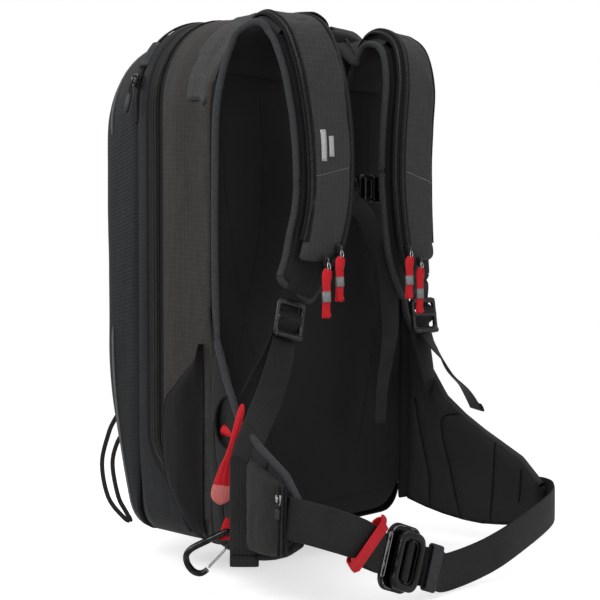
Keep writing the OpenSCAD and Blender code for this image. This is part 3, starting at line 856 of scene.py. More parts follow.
def build_bag():
    rear = [bag_ring(*row, 3.0) for row in REAR_ROWS]
    zips = [bag_ring(*row, 3.0) for row in ZIP_ROWS]
    gusset = [bag_ring(*row, 3.0) for row in GUSSET_ROWS]
    count = len(rear[0])
    # The outline runs over the top first, then down the right side, under the base and up the left side.
    right_side, base, left_side = (40, 76), (76, 106), (106, 142)
    body = skin("rear_fabric", rear, (left_side[0] - count, right_side[1]))
    settle(body, "side_ripstop", "pack", ["side_panels", "burst_cover"])
    settle(skin("base_fabric", rear, base), "booster_dobby", "pack", ["base_panel"])
    settle(skin("zip_surround", zips), "zip_tape", "pack")
    settle(skin("gusset_fabric", gusset), "booster_dobby", "pack", ["booster_gusset"])

    # The shell: rim, rounded edge with piping, then the face drawn in to a flat middle.
    steps = [(0, 4, 5, 0), (0.03, 1.2, 4, 0.2), (0.12, 0, 4, 0.8), (0.25, 0.5, 8, 1), (0.42, 1, 12, 1),
             (0.58, 1.6, 15, 0.8), (0.70, 2.6, 18, 0), (0.82, 4, 21, 0.5), (0.92, 7, 27, 0.6),
             (0.98, 12, 36, 0.5), (1.0, 20, 48, 0.5)]
    shell = [shell_ring(*step, 8.0) for step in steps]
    heart = Vector((0, 0, 262))
    for f in (0.86, 0.7, 0.54, 0.38, 0.22, 0.08, 0.001):
        ring = []
        for p in shell[10]:
            q = Vector((p.x * f, 0, heart.z + (p.z - heart.z) * f))
            flat = RIM_Y + reach(q.z) + 3.5 * (1 - f) + fold_noise(q.x, 90, q.z, 8.0) * 1.2
            ring.append(Vector((q.x, flat, q.z)))
        shell.append(ring)
    seam = []
    for ring, sink in ((gusset[-2], 1.2), (gusset[-1], 1.5), (gusset[-1], 3), (shell[0], 3),
                       (shell[0], 1.6), (shell[1], 1.6)):
        seam.append([p - (p - Vector((0, p.y, heart.z))).normalized() * sink for p in ring])
    settle(skin("booster_seam", seam), "zip_tape", "pack")
    front = skin("booster_fabric", shell)
    settle(front, "booster_dobby", "pack", ["front_shell"])
    edge = [p + Vector((0, 0.8, 0)) for p in shell[6]]
    settle(tube("booster_piping", edge, 1.5, closed=True), "piping", "pack")
    return zips


# ---------------------------------------------------------------- zips

def zip_line(name, path, outward, width, body):
    """Tape, coil and two folded welts along a path, standing out along the directions outward."""
    across = [t.cross(n) for t, n in zip(tangents(path), outward)]
    flat = [(-1, -1), (1, -1), (1, 1), (-1, 1)]
    tape = solid(name + "_tape", sweep(path, across, width, 0.9, flat))
    coil = [p + n * 0.9 for p, n in zip(path, outward)]
    teeth_piece = solid(name + "_coil", sweep(coil, across, 3.4, 1.8, oval(10, 0.8, 0.8)))
    finish_with(tape, "zip_tape")
    finish_with(teeth_piece, "zip_teeth")
    parts = [tape, teeth_piece]
    for edge in (-1, 1):
        line = [p + n * 0.6 + a.normalized() * edge * (width / 2 - 1.2)
                for p, n, a in zip(path, outward, across)]
        welt = solid(name + "_welt", sweep(line, across, 2.6, 1.6, oval(8)))
        parts.append(finish_with(welt, "dark_binding"))
    return settle_join(name, parts, body)


def slider(name, node, place, body, look="gunmetal", cord=0.0):
    """Zip slider: body with two rounded shoulders, a bridge, and a pull if a length of cord is given."""
    shape = hull_of_circles([(-1.5, 3.4, 1.6), (1.5, 3.4, 1.6), (0, -3.2, 1.9)], 6)
    lower = plate(name, shape, [], 1.3, 0.35, place @ Matrix.Translation((0, 0, -1.0 * MM)))
    upper = plate(name + "_top", shape, [], 1.3, 0.35, place @ Matrix.Translation((0, 0, 1.0 * MM)))
    arch = [Vector((0, 3.2, 1.6)), Vector((0, 2.2, 3.4)), Vector((0, -1.2, 3.4)), Vector((0, -2.6, 1.6))]
    bridge = tube(name + "_bridge", catmull(arch, 4), 0.75, across=(1, 0, 0))
    bridge.data.transform(place)
    parts = [finish_with(p, look) for p in (lower, upper, bridge)]
    if cord:
        loop = [Vector((0, 0.5, 3.0)), Vector((1.1, -4, 4.2)), Vector((1.2, -cord * 0.5, 3.4)),
                Vector((0, -cord, 2.6)), Vector((-1.2, -cord * 0.5, 3.0)), Vector((-1.0, -4, 3.8))]
        string = tube(name + "_cord", catmull(loop + loop[:1], 5)[:-1], 0.7, closed=True, across=(0, 0, 1))
        string.data.transform(place)
        grip = solid(name + "_grip", sweep([Vector((0, -cord * f, 3)) for f in (0.45, 0.6, 0.8, 1.02)],
                                          (1, 0, 0), [3.6, 4.6, 4.6, 3.4], 2.4, oval(12, 0.6, 0.6)))
        grip.data.transform(place)
        parts += [finish_with(string, "webbing"), finish_with(grip, "rubber")]
    return settle_join(name, parts, body, [node])


# ---------------------------------------------------------------- back panel

PANEL_SEAMS = [[(85, 470), (84, 342), (104, 246), (126, 130), (124, 60)],
               [(134, 400), (131, 353), (108, 240), (81, 146), (60, 60)]]


def panel_padding(x, z):
    """How far the foam stands out from the panel's border: two long pads beside a channel, a lumbar pad."""
    pads = 5 * math.exp(-((abs(x) - 72) / 34) ** 2) * smooth((z - 30) / 80) * smooth((500 - z) / 90)
    lumbar = 5 * math.exp(-((z - 120) / 46) ** 2) * smooth((118 - abs(x)) / 40)
    return max(pads, lumbar)


def build_back_panel():
    border = outline(BACK_HALF, PANEL_TOP, 0, 0, CORNER - 2, 45)
    rings = [[Vector((x, REAR_Y - 0.5, z + 6 * (1 - z / PANEL_TOP))) for x, z, _, _ in border]]
    heart = Vector((0, 0, 270))
    for f, y in ((1.004, REAR_Y - 3), (1.004, REAR_Y - 7), (0.992, FACE_Y + 1), (0.975, FACE_Y),
                 (0.95, FACE_Y), (0.91, FACE_Y), (0.86, FACE_Y), (0.8, FACE_Y), (0.73, FACE_Y),
                 (0.65, FACE_Y), (0.56, FACE_Y), (0.46, FACE_Y), (0.36, FACE_Y), (0.26, FACE_Y),
                 (0.16, FACE_Y), (0.06, FACE_Y)):
        ring = []
        for p in rings[0]:
            x, z = p.x * f, heart.z + (p.z - heart.z) * f
            ring.append(Vector((x, y - (panel_padding(x, z) if f < 0.97 else 0), z)))
        rings.append(ring)
    panel = solid("back_pad", rings)
    modify(panel, "SUBSURF", levels=1, render_levels=1)
    seams = [[Vector((side * x, FACE_Y - panel_padding(x, z), z))
              for x, _, z in catmull([(x, 0, z) for x, z in seam], 24)]
             for seam in PANEL_SEAMS for side in (-1, 1)]
    foot = [Vector((x, FACE_Y - 1, 27)) for x in range(-104, 105, 2)]
    groove(panel, seams + [foot], 3.2, 1.6)
    box_uvs(panel)
    settle(panel, "panel_knit", "pack", ["back_panel"])
    # Near-black stitch rows beside each seam: real threads whose colour also paints the shade along the seam.
    threads = []
    for number, seam in enumerate(seams + [foot]):
        lifted = [p + Vector((1.8 if p.x > 0 else -1.8, 0.2, 0)) for p in seam]
        threads.append(finish_with(stitches(f"panel_stitch_{number}", lifted, 2.4, 4.4, 0.35), "seam"))
    settle_join("panel_stitching", threads, "pack")


# ---------------------------------------------------------------- shoulder straps

STRAP_PATH = [(92, -104, 478), (91, -107, 506), (88, -119, 519), (84, -134, 522), (81, -150, 511),
              (77, -160, 480), (70, -163, 440), (66, -164, 392), (69, -164, 340), (82, -160, 292),
              (98, -156, 262)]
STRAP_ACROSS = [Vector(v) for v in ((1, 0, 0), (1, 0.2, 0), (1, 0.05, 0), (1, 0, 0.12), (1, 0.05, 0.38))]
PAD_WIDTH = [96, 84, 74, 76, 76, 76, 72, 50]
PAD_THICK = 11
SLEEVE_FROM, SLEEVE_TO, SLEEVE_LIFT = 0.225, 0.925, 13.8
strap_curve = catmull(STRAP_PATH, 8)
strap_way = tangents(strap_curve)


def strap_axes(f):
    t = mix(strap_way, f).normalized()
    s = mix(STRAP_ACROSS, f).normalized()
    s = (s - t * s.dot(t)).normalized()
    return t, s, t.cross(s)


def strap_at(side, f, across=0.0, lift=0.0):
    """A point at fraction f down a shoulder strap, across from its centre line and lifted off the chest."""
    _, s, n = strap_axes(f)
    p = mix(strap_curve, f) + s * across + n * lift
    return Vector((p.x * side, p.y, p.z))


def strap_out(side, f, tilt=0.0):
    """Direction away from the chest at fraction f, leaned across the strap by tilt."""
    _, s, n = strap_axes(f)
    v = (n + s * tilt).normalized()
    return Vector((v.x * side, v.y, v.z))


def steps(a, b, count):
    return [a + (b - a) * k / count for k in range(count + 1)]


def strap_rings(side, start, end, count, width, thick, lift, section, shear=0.0):
    """Rings of a section down a strap; shear lifts the lower end's inner edge by a fraction of the strap."""
    rings = []
    for f in steps(start, end, count):
        g = (f - start) / (end - start)
        w, h, off = (mix(v, g) if isinstance(v, list) else v for v in (width, thick, lift))
        slant = shear / 2 * smooth((f - 0.7) / 0.2)
        rings.append([strap_at(side, f + slant * (x - 1), x * w / 2, off + y * h / 2) for x, y in section])
    return rings


def build_strap(word, side):
    foam = PAD_THICK - 2.5
    pad = solid("strap_foam_" + word,
                strap_rings(side, 0, 1, 60, PAD_WIDTH, foam, [9, 6] + [0] * 10, oval(24, 0.35, 0.7)))
    puff(pad, 4, 2.0)
    settle(pad, "mesh", "pack", ["strap_pad_" + word])

    # The sleeve's two ends close flat; its lower end gathers above the sewn webbing.
    thick = [6, 11, 13, 13, 13, 13, 12, 12, 9]
    width = [50, 56, 60, 62, 63, 63, 62, 58, 50]
    sleeve = solid("sleeve_fabric_" + word, strap_rings(side, SLEEVE_FROM - 0.07, SLEEVE_TO, 56, width,
                                                       [t - 2 for t in thick], SLEEVE_LIFT,
                                                        oval(28, 0.45, 0.75), 0.05))
    puff(sleeve, 4.5, 2.6, voxel=4)
    crumple(sleeve, 1.1, 26, side * 2 + 5, (1, 1, 0.5))
    cross_seam = [strap_at(side, 0.722 + 0.00045 * a, a, SLEEVE_LIFT + 6.6) for a in range(-30, 31)]
    groove(sleeve, [cross_seam], 3, 0.9)
    settle(sleeve, "strap_ripstop", "pack", ["strap_sleeve_" + word])
    sleeve_face = surface_of(sleeve)
    seam_top = lay(sleeve_face, cross_seam[4:-2], strap_out(side, 0.722))
    dashes = stitches("chest_stitch_" + word, seam_top, 1.7, 3.4, 0.4)
    settle(dashes, "pale_thread", "pack")

    # Two zips run down the inner edge of the sleeve and one down the outer edge.
    for label, edge, start, tilt in (("inner", -1, 0.2, -0.55), ("middle", -0.8, 0.24, -0.2),
                                     ("outer", 0.95, 0.2, 0.9)):
        span = steps(start, SLEEVE_TO - (0.055 if label == "outer" else 0.02), 70)
        lift = SLEEVE_LIFT + (5.6 if label == "middle" else 1.5)
        path = []
        for f in span:
            half = mix(width, (f - SLEEVE_FROM + 0.07) / (SLEEVE_TO - SLEEVE_FROM + 0.07)) / 2
            path.append(strap_at(side, f, edge * half, lift))
        zip_line(f"sleeve_zip_{label}_{word}", path, [strap_out(side, f, tilt) for f in span],
                 8.5 if label == "outer" else 7.5, "pack")

    # Knit binding round the pad's edge, and a row of stitches inside it.
    span = steps(0.02, 0.985, 90)
    inner = [strap_at(side, f, -mix(PAD_WIDTH, f) / 2 + 1.2, 1) for f in span]
    outer = [strap_at(side, f, mix(PAD_WIDTH, f) / 2 - 1.2, 1) for f in span]
    corner = catmull([inner[-1], strap_at(side, 1.0, -17, 1), strap_at(side, 1.0, 17, 1), outer[-1]], 5)[1:-1]
    edge = tube("pad_binding_" + word, inner[12:] + corner + outer[::-1][:-12], BINDING_RADIUS, sides=10)
    settle(edge, "binding", "pack")
    rows = [stitches("row", [strap_at(side, f, k * (mix(PAD_WIDTH, f) / 2 - 6), PAD_THICK / 2 + 1)
                             for f in steps(0.2, 0.97, 120)], *EDGE_STITCH) for k in (-1, 1)]
    seam = join("pad_stitching_" + word, rows)
    settle(seam, "thread", "pack")

    # Fabric yoke from the top of the pack down on to the strap, closed down to the binding on its outer side.
    rows = []
    for k in range(17):
        a = -1 + k / 6
        over = max(a - 1, 0) / 0.667
        turn = math.acos(min((88 + 46 * min(a, 1) - 50) / CORNER, 1)) * (1 - 0.86 * over)
        edge = CORNER + 3.4 - 1.6 * over
        x, top = 50 + edge * math.cos(turn), SIDE_TOP + edge * math.sin(turn)
        if a < -0.08:
            x, top = 88 + 46 * a, SIDE_TOP + edge
        bow = 1 - 0.8 * min(abs(a), 1) ** 4
        points = [Vector((side * x, -58, top)), Vector((side * x, -76, top + 0.5)),
                  Vector((side * (x + 0.6 * over), FACE_Y + 9, top - 2 + bow))]
        for f, w, lift in ((0.17, 80, 15), (0.235, 70, 17.5), (0.3, 60, 19.5), (0.36, 58, 20)):
            half = w / 2 * min(a, 1) + (mix(PAD_WIDTH, f) / 2 + 0.5 - w / 2) * over
            height = (lift * bow - (1 - bow) * 3) * (1 - over) + 1 * over
            points.append(strap_at(side, f - 0.05 * over, half, height))
        rows.append(catmull(points, 6))
    cover = grid("yoke_cover_" + word, rows)
    face_towards(cover, (0, 0, 1))
    modify(cover, "SUBSURF", levels=1, render_levels=1)
    crumple(cover, 1.0, 30, side + 11)
    modify(cover, "SOLIDIFY", thickness=1.6 * MM, offset=-1)
    settle(cover, "strap_ripstop", "pack")
    if side < 0:
        build_bars(sleeve_face)


def build_yoke_edge():
    """Binding and top band that join the two straps over the back panel."""
    inner = [strap_at(1, f, 1.2 - mix(PAD_WIDTH, f) / 2, 1) for f in (0.2, 0.15)]
    half = [inner[0], inner[1], Vector((34, FACE_Y - 1, 526)), Vector((16, FACE_Y - 1, 531))]
    path = half + [Vector((0, FACE_Y - 1, 532))] + [Vector((-p.x, p.y, p.z)) for p in half[::-1]]
    curve = catmull(path, 8)
    edge = tube("yoke_binding", curve, BINDING_RADIUS, sides=10, across=(0, 1, 0))
    settle(edge, "binding", "pack")
    rows = []
    for q in curve:
        span = min(abs(q.x) / 50, 1)
        rows.append([q + Vector((0, 1, 1.5)), q + Vector((0, 3, 5 + 5 * span)),
                     Vector((q.x, FACE_Y + 10, 545.5)), Vector((q.x, -76, 549.5)), Vector((q.x, -60, 550.5))])
    band = grid("yoke_band", rows)
    face_towards(band, (0, 0, 1))
    thicken(band, 1.4)
    settle(band, "strap_ripstop", "pack")
    line = stitches("yoke_stitch", [p + Vector((0, -1.5, -7)) for p in curve[10:-10]], 2.2, 4.2, 0.4)
    settle(line, "thread", "pack")


def build_bars(sleeve):
    """Two plain reflective bars printed on the right sleeve, whose surface is given."""
    bars = []
    for number, (middle, top, long) in enumerate(((18, 0.638, 0.066), (7, 0.652, 0.042))):
        rings = []
        for f in steps(top, top + long, 8):
            out = strap_out(-1, f)
            row = lay(sleeve, [strap_at(-1, f, middle + a) for a in steps(-3.5, 3.5, 4)], out, 0.15)
            rings.append(row + [p + out * 0.5 for p in reversed(row)])
        bar = solid(f"bar_{number}", rings)
        bars.append(bar)
    settle(join("reflective_bars", bars), "reflective", "pack")


# ---------------------------------------------------------------- hip belt

FIN_LEN = 160
FIN_SPLAY = math.radians(15)
FIN_ROOT = Vector((155, -103, 0))
FIN_TOPS = [222, 176, 140, 122, 108, 96, 84, 60]
FIN_LOWS = [14, 8, 4, 2, 2, 5, 10, 20]
RISE = {-1: 16, 1: -16}
# Each seam of a fin as points (fraction towards the tip, fraction of the height).
FIN_SEAMS = [[(0.18, 0.01), (0.176, 0.23), (0.12, 0.43), (0.06, 0.63)],
             [(0.42, 0.01), (0.34, 0.4), (0.27, 0.76), (0.4, 0.97)],
             [(0.64, 0.02), (0.66, 0.5), (0.675, 0.97)], [(0.85, 0.33), (0.86, 0.6), (0.867, 0.84)]]


def fin_at(side, t, z, off=0.0):
    """Point on a hip fin: fraction t from hinge line to tip, height z, off outwards from its middle."""
    d = FIN_LEN * t
    return Vector((side * (FIN_ROOT.x + d * math.sin(FIN_SPLAY) + off * math.cos(FIN_SPLAY)),
                   FIN_ROOT.y - d * math.cos(FIN_SPLAY) + off * math.sin(FIN_SPLAY), z))


def fin_top(side, t):
    return mix(FIN_TOPS, t) + RISE[side] * t


def fin_low(side, t):
    return mix(FIN_LOWS, t) + RISE[side] * t


def build_fin(word, side):
    body = "hip_" + word
    rings = []
    for t in steps(0, 1, 40):
        high_z, low_z = fin_top(side, t), fin_low(side, t)
        ring = []
        for x, y in oval(36, 0.35, 0.6):
            cup = 4 * (1 - x * x)
            ring.append(fin_at(side, t, (high_z + low_z) / 2 + x * ((high_z - low_z) / 2 + 1.5),
                               (10 - 3 * t) / 2 * y + cup - 2))
        rings.append(ring)
    fin = solid("fin_" + word, rings)
    puff(fin, 4, 2.5)
    seams = []
    for shape in FIN_SEAMS:
        for off in (-7, 7):
            seams.append([fin_at(side, t, fin_low(side, t) + g * (fin_top(side, t) - fin_low(side, t)), off)
                          for t, g, _ in catmull([Vector((t, g, 0)) for t, g in shape], 20)])
    groove(fin, seams, 5.5, 2.2)
    face = surface_of(fin)
    front = (fin_at(side, 0, 0) - fin_at(side, 0, 0, 1)).normalized()
    # Near-black cords laid in the seam grooves: painted shade of the seam creases.
    seam_shade_cords = [tube("fin_seam", lay(face, seam, -front if k % 2 else front, 0), 1.1, sides=6)
             for k, seam in enumerate(seams)]
    settle(join("fin_seams_" + word, [finish_with(cord, "seam") for cord in seam_shade_cords]), "seam", body)
    crumple(fin, 0.8, 45, side + 3)
    settle(fin, "fin_knit", body, ["hip_fin_" + word])

    # Binding from the tip, along the fin's top edge and up the pack's edge into the strap.
    edge = [fin_at(side, t, fin_top(side, t) - 1.5, 0.5) for t in steps(1, 0.02, 40)]
    up = [(151, -100, 240), (150.5, -98, 300), (150, -98, 380), (149, -99, 440), (143, -103, 482)]
    strap_edge = [strap_at(side, f, mix(PAD_WIDTH, f) / 2 - 1.2, 1) for f in steps(0.12, 0.16, 4)]
    pack_edge = catmull([edge[-1]] + [Vector((side * x, y, z)) for x, y, z in up] + [strap_edge[0]], 10)[1:-1]
    strip = tube("edge_binding_" + word, edge + pack_edge + strap_edge, BINDING_RADIUS, sides=10,
                 across=(0, 1, 0))
    link(strip, "binding")
    low_edge = [fin_at(side, t, fin_low(side, t) + 2, 0) for t in steps(0, 1, 40)]
    tip = [fin_at(side, 1.004, z, 1.5) for z in steps(fin_low(side, 1), fin_top(side, 1), 8)][1:-1]
    hem = tube("fin_binding_" + word, low_edge + tip, BINDING_RADIUS, across=(0, 1, 0))
    settle(hem, "dark_binding", body)
    rows = []
    for z_of in (fin_top, fin_low):
        inwards = -7 if z_of is fin_top else 7
        line = [fin_at(side, t, z_of(side, t) + inwards, -5.4 + 1.5 * t) for t in steps(0.05, 0.97, 60)]
        rows.append(stitches("row", lay(face, line, front), *EDGE_STITCH))
    settle(join("fin_stitching_" + word, rows), "thread", body)


def build_wing(word, side):
    """Soft knit that joins a fin's root and top edge to the pack's side."""
    rows = []
    for g in steps(0, 1, 26):
        low_z, high_z = fin_low(side, 0.03), fin_top(side, 0.03)
        edge = Vector((side * (BACK_HALF + 0.8), FACE_Y + 5, 12 + (high_z + (22 if side < 0 else 62)) * g))
        root = fin_at(side, 0.04, low_z + 4 + (high_z - low_z - 8) * g, 1.5)
        bulge = Vector((side * 3.5, -1, 0)) * (1 + 0.5 * math.sin(22 * g + side))
        rows.append(catmull([edge, (edge + root) / 2 + bulge, root], 5))
    wing = grid("fin_wing_" + word, rows)
    face_towards(wing, (side, 0, 0))
    thicken(wing, 2.4, offset=0)
    link(wing, "panel_knit")


def build_hip_pocket():
    rings = []
    for t in steps(0.56, 0.985, 14):
        g = (t - 0.56) / 0.425
        bulge = 11 * (1 - (2 * g - 1) ** 4) + 4
        low_z, high_z = 20 + 6 * g, 112 - 18 * g
        rings.append([fin_at(-1, t, (high_z + low_z) / 2 + x * (high_z - low_z) / 2, 9 + bulge * (y + 1) / 2)
                      for x, y in oval(24, 0.4, 0.6)])
    pocket = solid("hip_pocket_fabric", rings)
    puff(pocket, 3, 2.0)
    crumple(pocket, 1.2, 22, 6)
    settle(pocket, "top_weave", "hip_right", ["hip_pocket"])
    span = steps(28, 92, 20)
    path = [fin_at(-1, 0.975 + 0.0002 * (z - 60), z, 17.5) for z in span]
    out = (fin_at(-1, 1, 0, 1) - fin_at(-1, 0.9, 0, 0)).normalized()
    zip_line("hip_pocket_zip", path, [out] * len(path), 9, "hip_right")


def ribbon(name, path, across, width, thick=1.8):
    """Webbing along points in millimetres, with rounded selvedges."""
    return solid(name, sweep(path, across, width, thick, oval(12, 0.25, 0.8)))


BELT_W = 38
TILT = math.radians(20)
BELT_DIR = Vector((math.cos(TILT), 0, -math.sin(TILT)))
BELT_UP = Vector((math.sin(TILT), 0, math.cos(TILT)))
PLATE = centre("buckle_plate")
RING = centre("hook_ring")
KEEPER = centre("belt_keeper")


def at_buckle(middle, lift=0.0):
    """Places a plate drawn in XY so that its face looks away from the wearer, sloped with the belt."""
    turn = Matrix.Rotation(TILT, 4, "Y") @ Matrix.Rotation(math.pi / 2, 4, "X")
    return Matrix.Translation((middle + Vector((0, -lift, 0))) * MM) @ turn


def build_belts():
    tip = fin_at(-1, 1, 62)
    bend = fin_at(-1, 1.0, 62, 8.4)
    root = fin_at(-1, 0.9, 62, 8)
    slot_at = PLATE - BELT_DIR * 24
    points = [root, bend, tip + Vector((14, -22, -9)), PLATE - BELT_DIR * 62 + Vector((0, -1, 6)),
              PLATE - BELT_DIR * 31, slot_at + Vector((0, 1.2, 0)),
              slot_at + BELT_DIR * 1.5 + Vector((0, 4.6, 0))]
    across = [Vector(v) for v in ((0.1, 0, 1), (0.2, 0, 1), (0.364, 0, 1), (0.364, 0, 1))]
    right = ribbon("belt_right", catmull(points, 8), across, BELT_W)
    fold = [slot_at + BELT_DIR * 1.5 + Vector((0, 4.6, 0)), slot_at - BELT_DIR * 8 + Vector((0, 4.4, 0)),
            slot_at - BELT_DIR * 34 + Vector((0, 3.2, 2))]
    back = ribbon("belt_fold", catmull(fold, 6), BELT_UP, BELT_W)
    settle(join("belt_webbing_near", [right, back]), "webbing", "hip_right",
           ["belt_webbing_right"])
    box = [PLATE - BELT_DIR * 46 + BELT_UP * y + Vector((0, -2.6, 1)) for y in steps(-15, 15, 30)]
    settle(stitches("belt_tack", box, 1.8, 2.6, 0.4), "thread", "hip_right")

    tip = fin_at(1, 1, 30)
    points = [fin_at(1, 0.62, 36, 8.5), fin_at(1, 0.8, 30, 8), fin_at(1, 1.0, 30, 7.6),
              tip + Vector((-2, -18, -4)), tip + Vector((-40, -36, -8)), Vector((78, -302, 6)),
              Vector((28, -298, -6)), KEEPER + BELT_DIR * 24, KEEPER + BELT_DIR * 6,
              RING + BELT_DIR * 21 + Vector((0, 4.6, 0)), RING + BELT_DIR * 10 + Vector((0, 4.2, 0)),
              RING + BELT_DIR * 4 + Vector((0, 1, 0)), RING + Vector((0, -2.8, 0)),
              RING - BELT_DIR * 4 + Vector((0, 0.6, 0)), RING + Vector((0, 4.4, 0))]
    across = [Vector(v) for v in ((0, 0, 1), (0, 0, 1), (0, 0, 1), (0.12, 0, 1), (0.36, 0, 1), (0.364, 0, 1))]
    left = ribbon("belt_webbing_far", catmull(points, 8), across, BELT_W)
    settle(left, "webbing", "hip_left", ["belt_webbing_left"])

    # Red loop round the right webbing, with its two ends folded to points.
    lean = Matrix.Rotation(TILT + math.radians(32), 4, "Y")
    middle = centre("belt_loop")
    shape = [Vector((0, -4.8, z)) for z in steps(-26, 26, 14)] + [Vector((0, 0, 29)), Vector((0, 3, 27))]
    shape += [Vector((0, 4.6, z)) for z in steps(24, -24, 12)] + [Vector((0, 3, -27)), Vector((0, -1, -29))]
    path = [lean @ p + middle for p in shape]
    loop = solid("loop_band", sweep(path, lean @ Vector((1, 0, 0)), 13, 1.7, oval(12, 0.25, 0.8), True),
                 closed=True)
    ears = [loop]
    for end, lean_to in ((1, -1), (-1, -1)):
        ear = [Vector((0, -4.2, end * 22)), Vector((lean_to * 5, -5.6, end * 26)),
               Vector((lean_to * 12, -6.4, end * 27))]
        flap = ribbon("loop_ear", catmull([lean @ p + middle for p in ear], 4),
                      [lean @ Vector((0, 0, 1))] * 2, [12, 9, 1.5])
        ears.append(flap)
    settle(join("red_belt_loop", ears), "red_webbing", "hip_right", ["belt_loop"])


def build_buckle():
    shape = hull_of_circles([(-12, 16, 16), (10, 16, 16), (-14, -18, 14), (8, -20, 12)], 12)
    holes = [rounded(3.6, 41, 1.6, -24, 0)[::-1], rounded(8, 6, 2.4, 16, 23)[::-1]]
    base = plate("plate_body", shape, holes, 3, 0.8, at_buckle(PLATE))
    lip = [Vector((x * 0.9, y * 0.93, 1.6)) for x, y in shape]
    raised = tube("plate_lip", lip, 1.1, closed=True, across=(0, 0, 1), flat=0.6)
    raised.data.transform(at_buckle(PLATE))
    rim = [Vector((x, y, 0)) for x, y in rounded(4.6, 42, 2.2, -24, 0)]
    bright = tube("plate_slot_edge", rim, 0.5, closed=True)
    bright.data.transform(at_buckle(PLATE, 1.5))
    for part in (base, raised):
        finish_with(part, "anodised")
    finish_with(bright, "bare_metal")
    settle_join("buckle_plate_body", [base, raised, bright], "hip_right", ["buckle_plate"])

    centre_bar = at_buckle(RING)
    frame_body = plate("ring_body", rounded(40, 56, 12, steps=8), [rounded(25, 42, 7, steps=8)[::-1]], 6.4,
                       1.9, centre_bar)
    inner = plate("ring_step", rounded(28, 45, 8, steps=8), [rounded(20.5, 38, 5, steps=8)[::-1]], 2.6, 0.8,
                  centre_bar @ Matrix.Translation((0, 0, -0.6 * MM)))
    bar = plate("ring_bar", rounded(6, 43, 2.2), [], 3.2, 1.0,
                centre_bar @ Matrix.Translation((0, 0, 0.4 * MM)))
    settle_join("hook_ring_body", [frame_body, inner, bar], "ring", ["hook_ring"], "anodised")

    turn = Matrix.Rotation(TILT, 4, "Y") @ Matrix.Rotation(math.pi / 2, 4, "Y")
    shell = plate("rubber_keeper", rounded(46, 8.2, 3, steps=5), [rounded(41, 4.2, 1.6, steps=5)[::-1]], 16,
                  1.0, Matrix.Translation(KEEPER * MM) @ turn)
    settle(shell, "rubber", "keeper", ["belt_keeper"])


# ---------------------------------------------------------------- strap adjusters and chest strap

def lock_place(side, middle):
    turn = Matrix.Rotation(math.radians(12 if side < 0 else -12), 4, "Z")
    turn = turn @ Matrix.Rotation(math.radians(-14 if side < 0 else -1), 4, "Y")
    turn = turn @ Matrix.Rotation(math.radians(-8), 4, "X") @ Matrix.Rotation(math.pi / 2, 4, "X")
    flip = Matrix.Diagonal((side, 1, 1, 1))
    return flip @ Matrix.Translation(Vector((middle.x * side, middle.y, middle.z)) * MM) @ turn


LOCK_SHIFT = 4


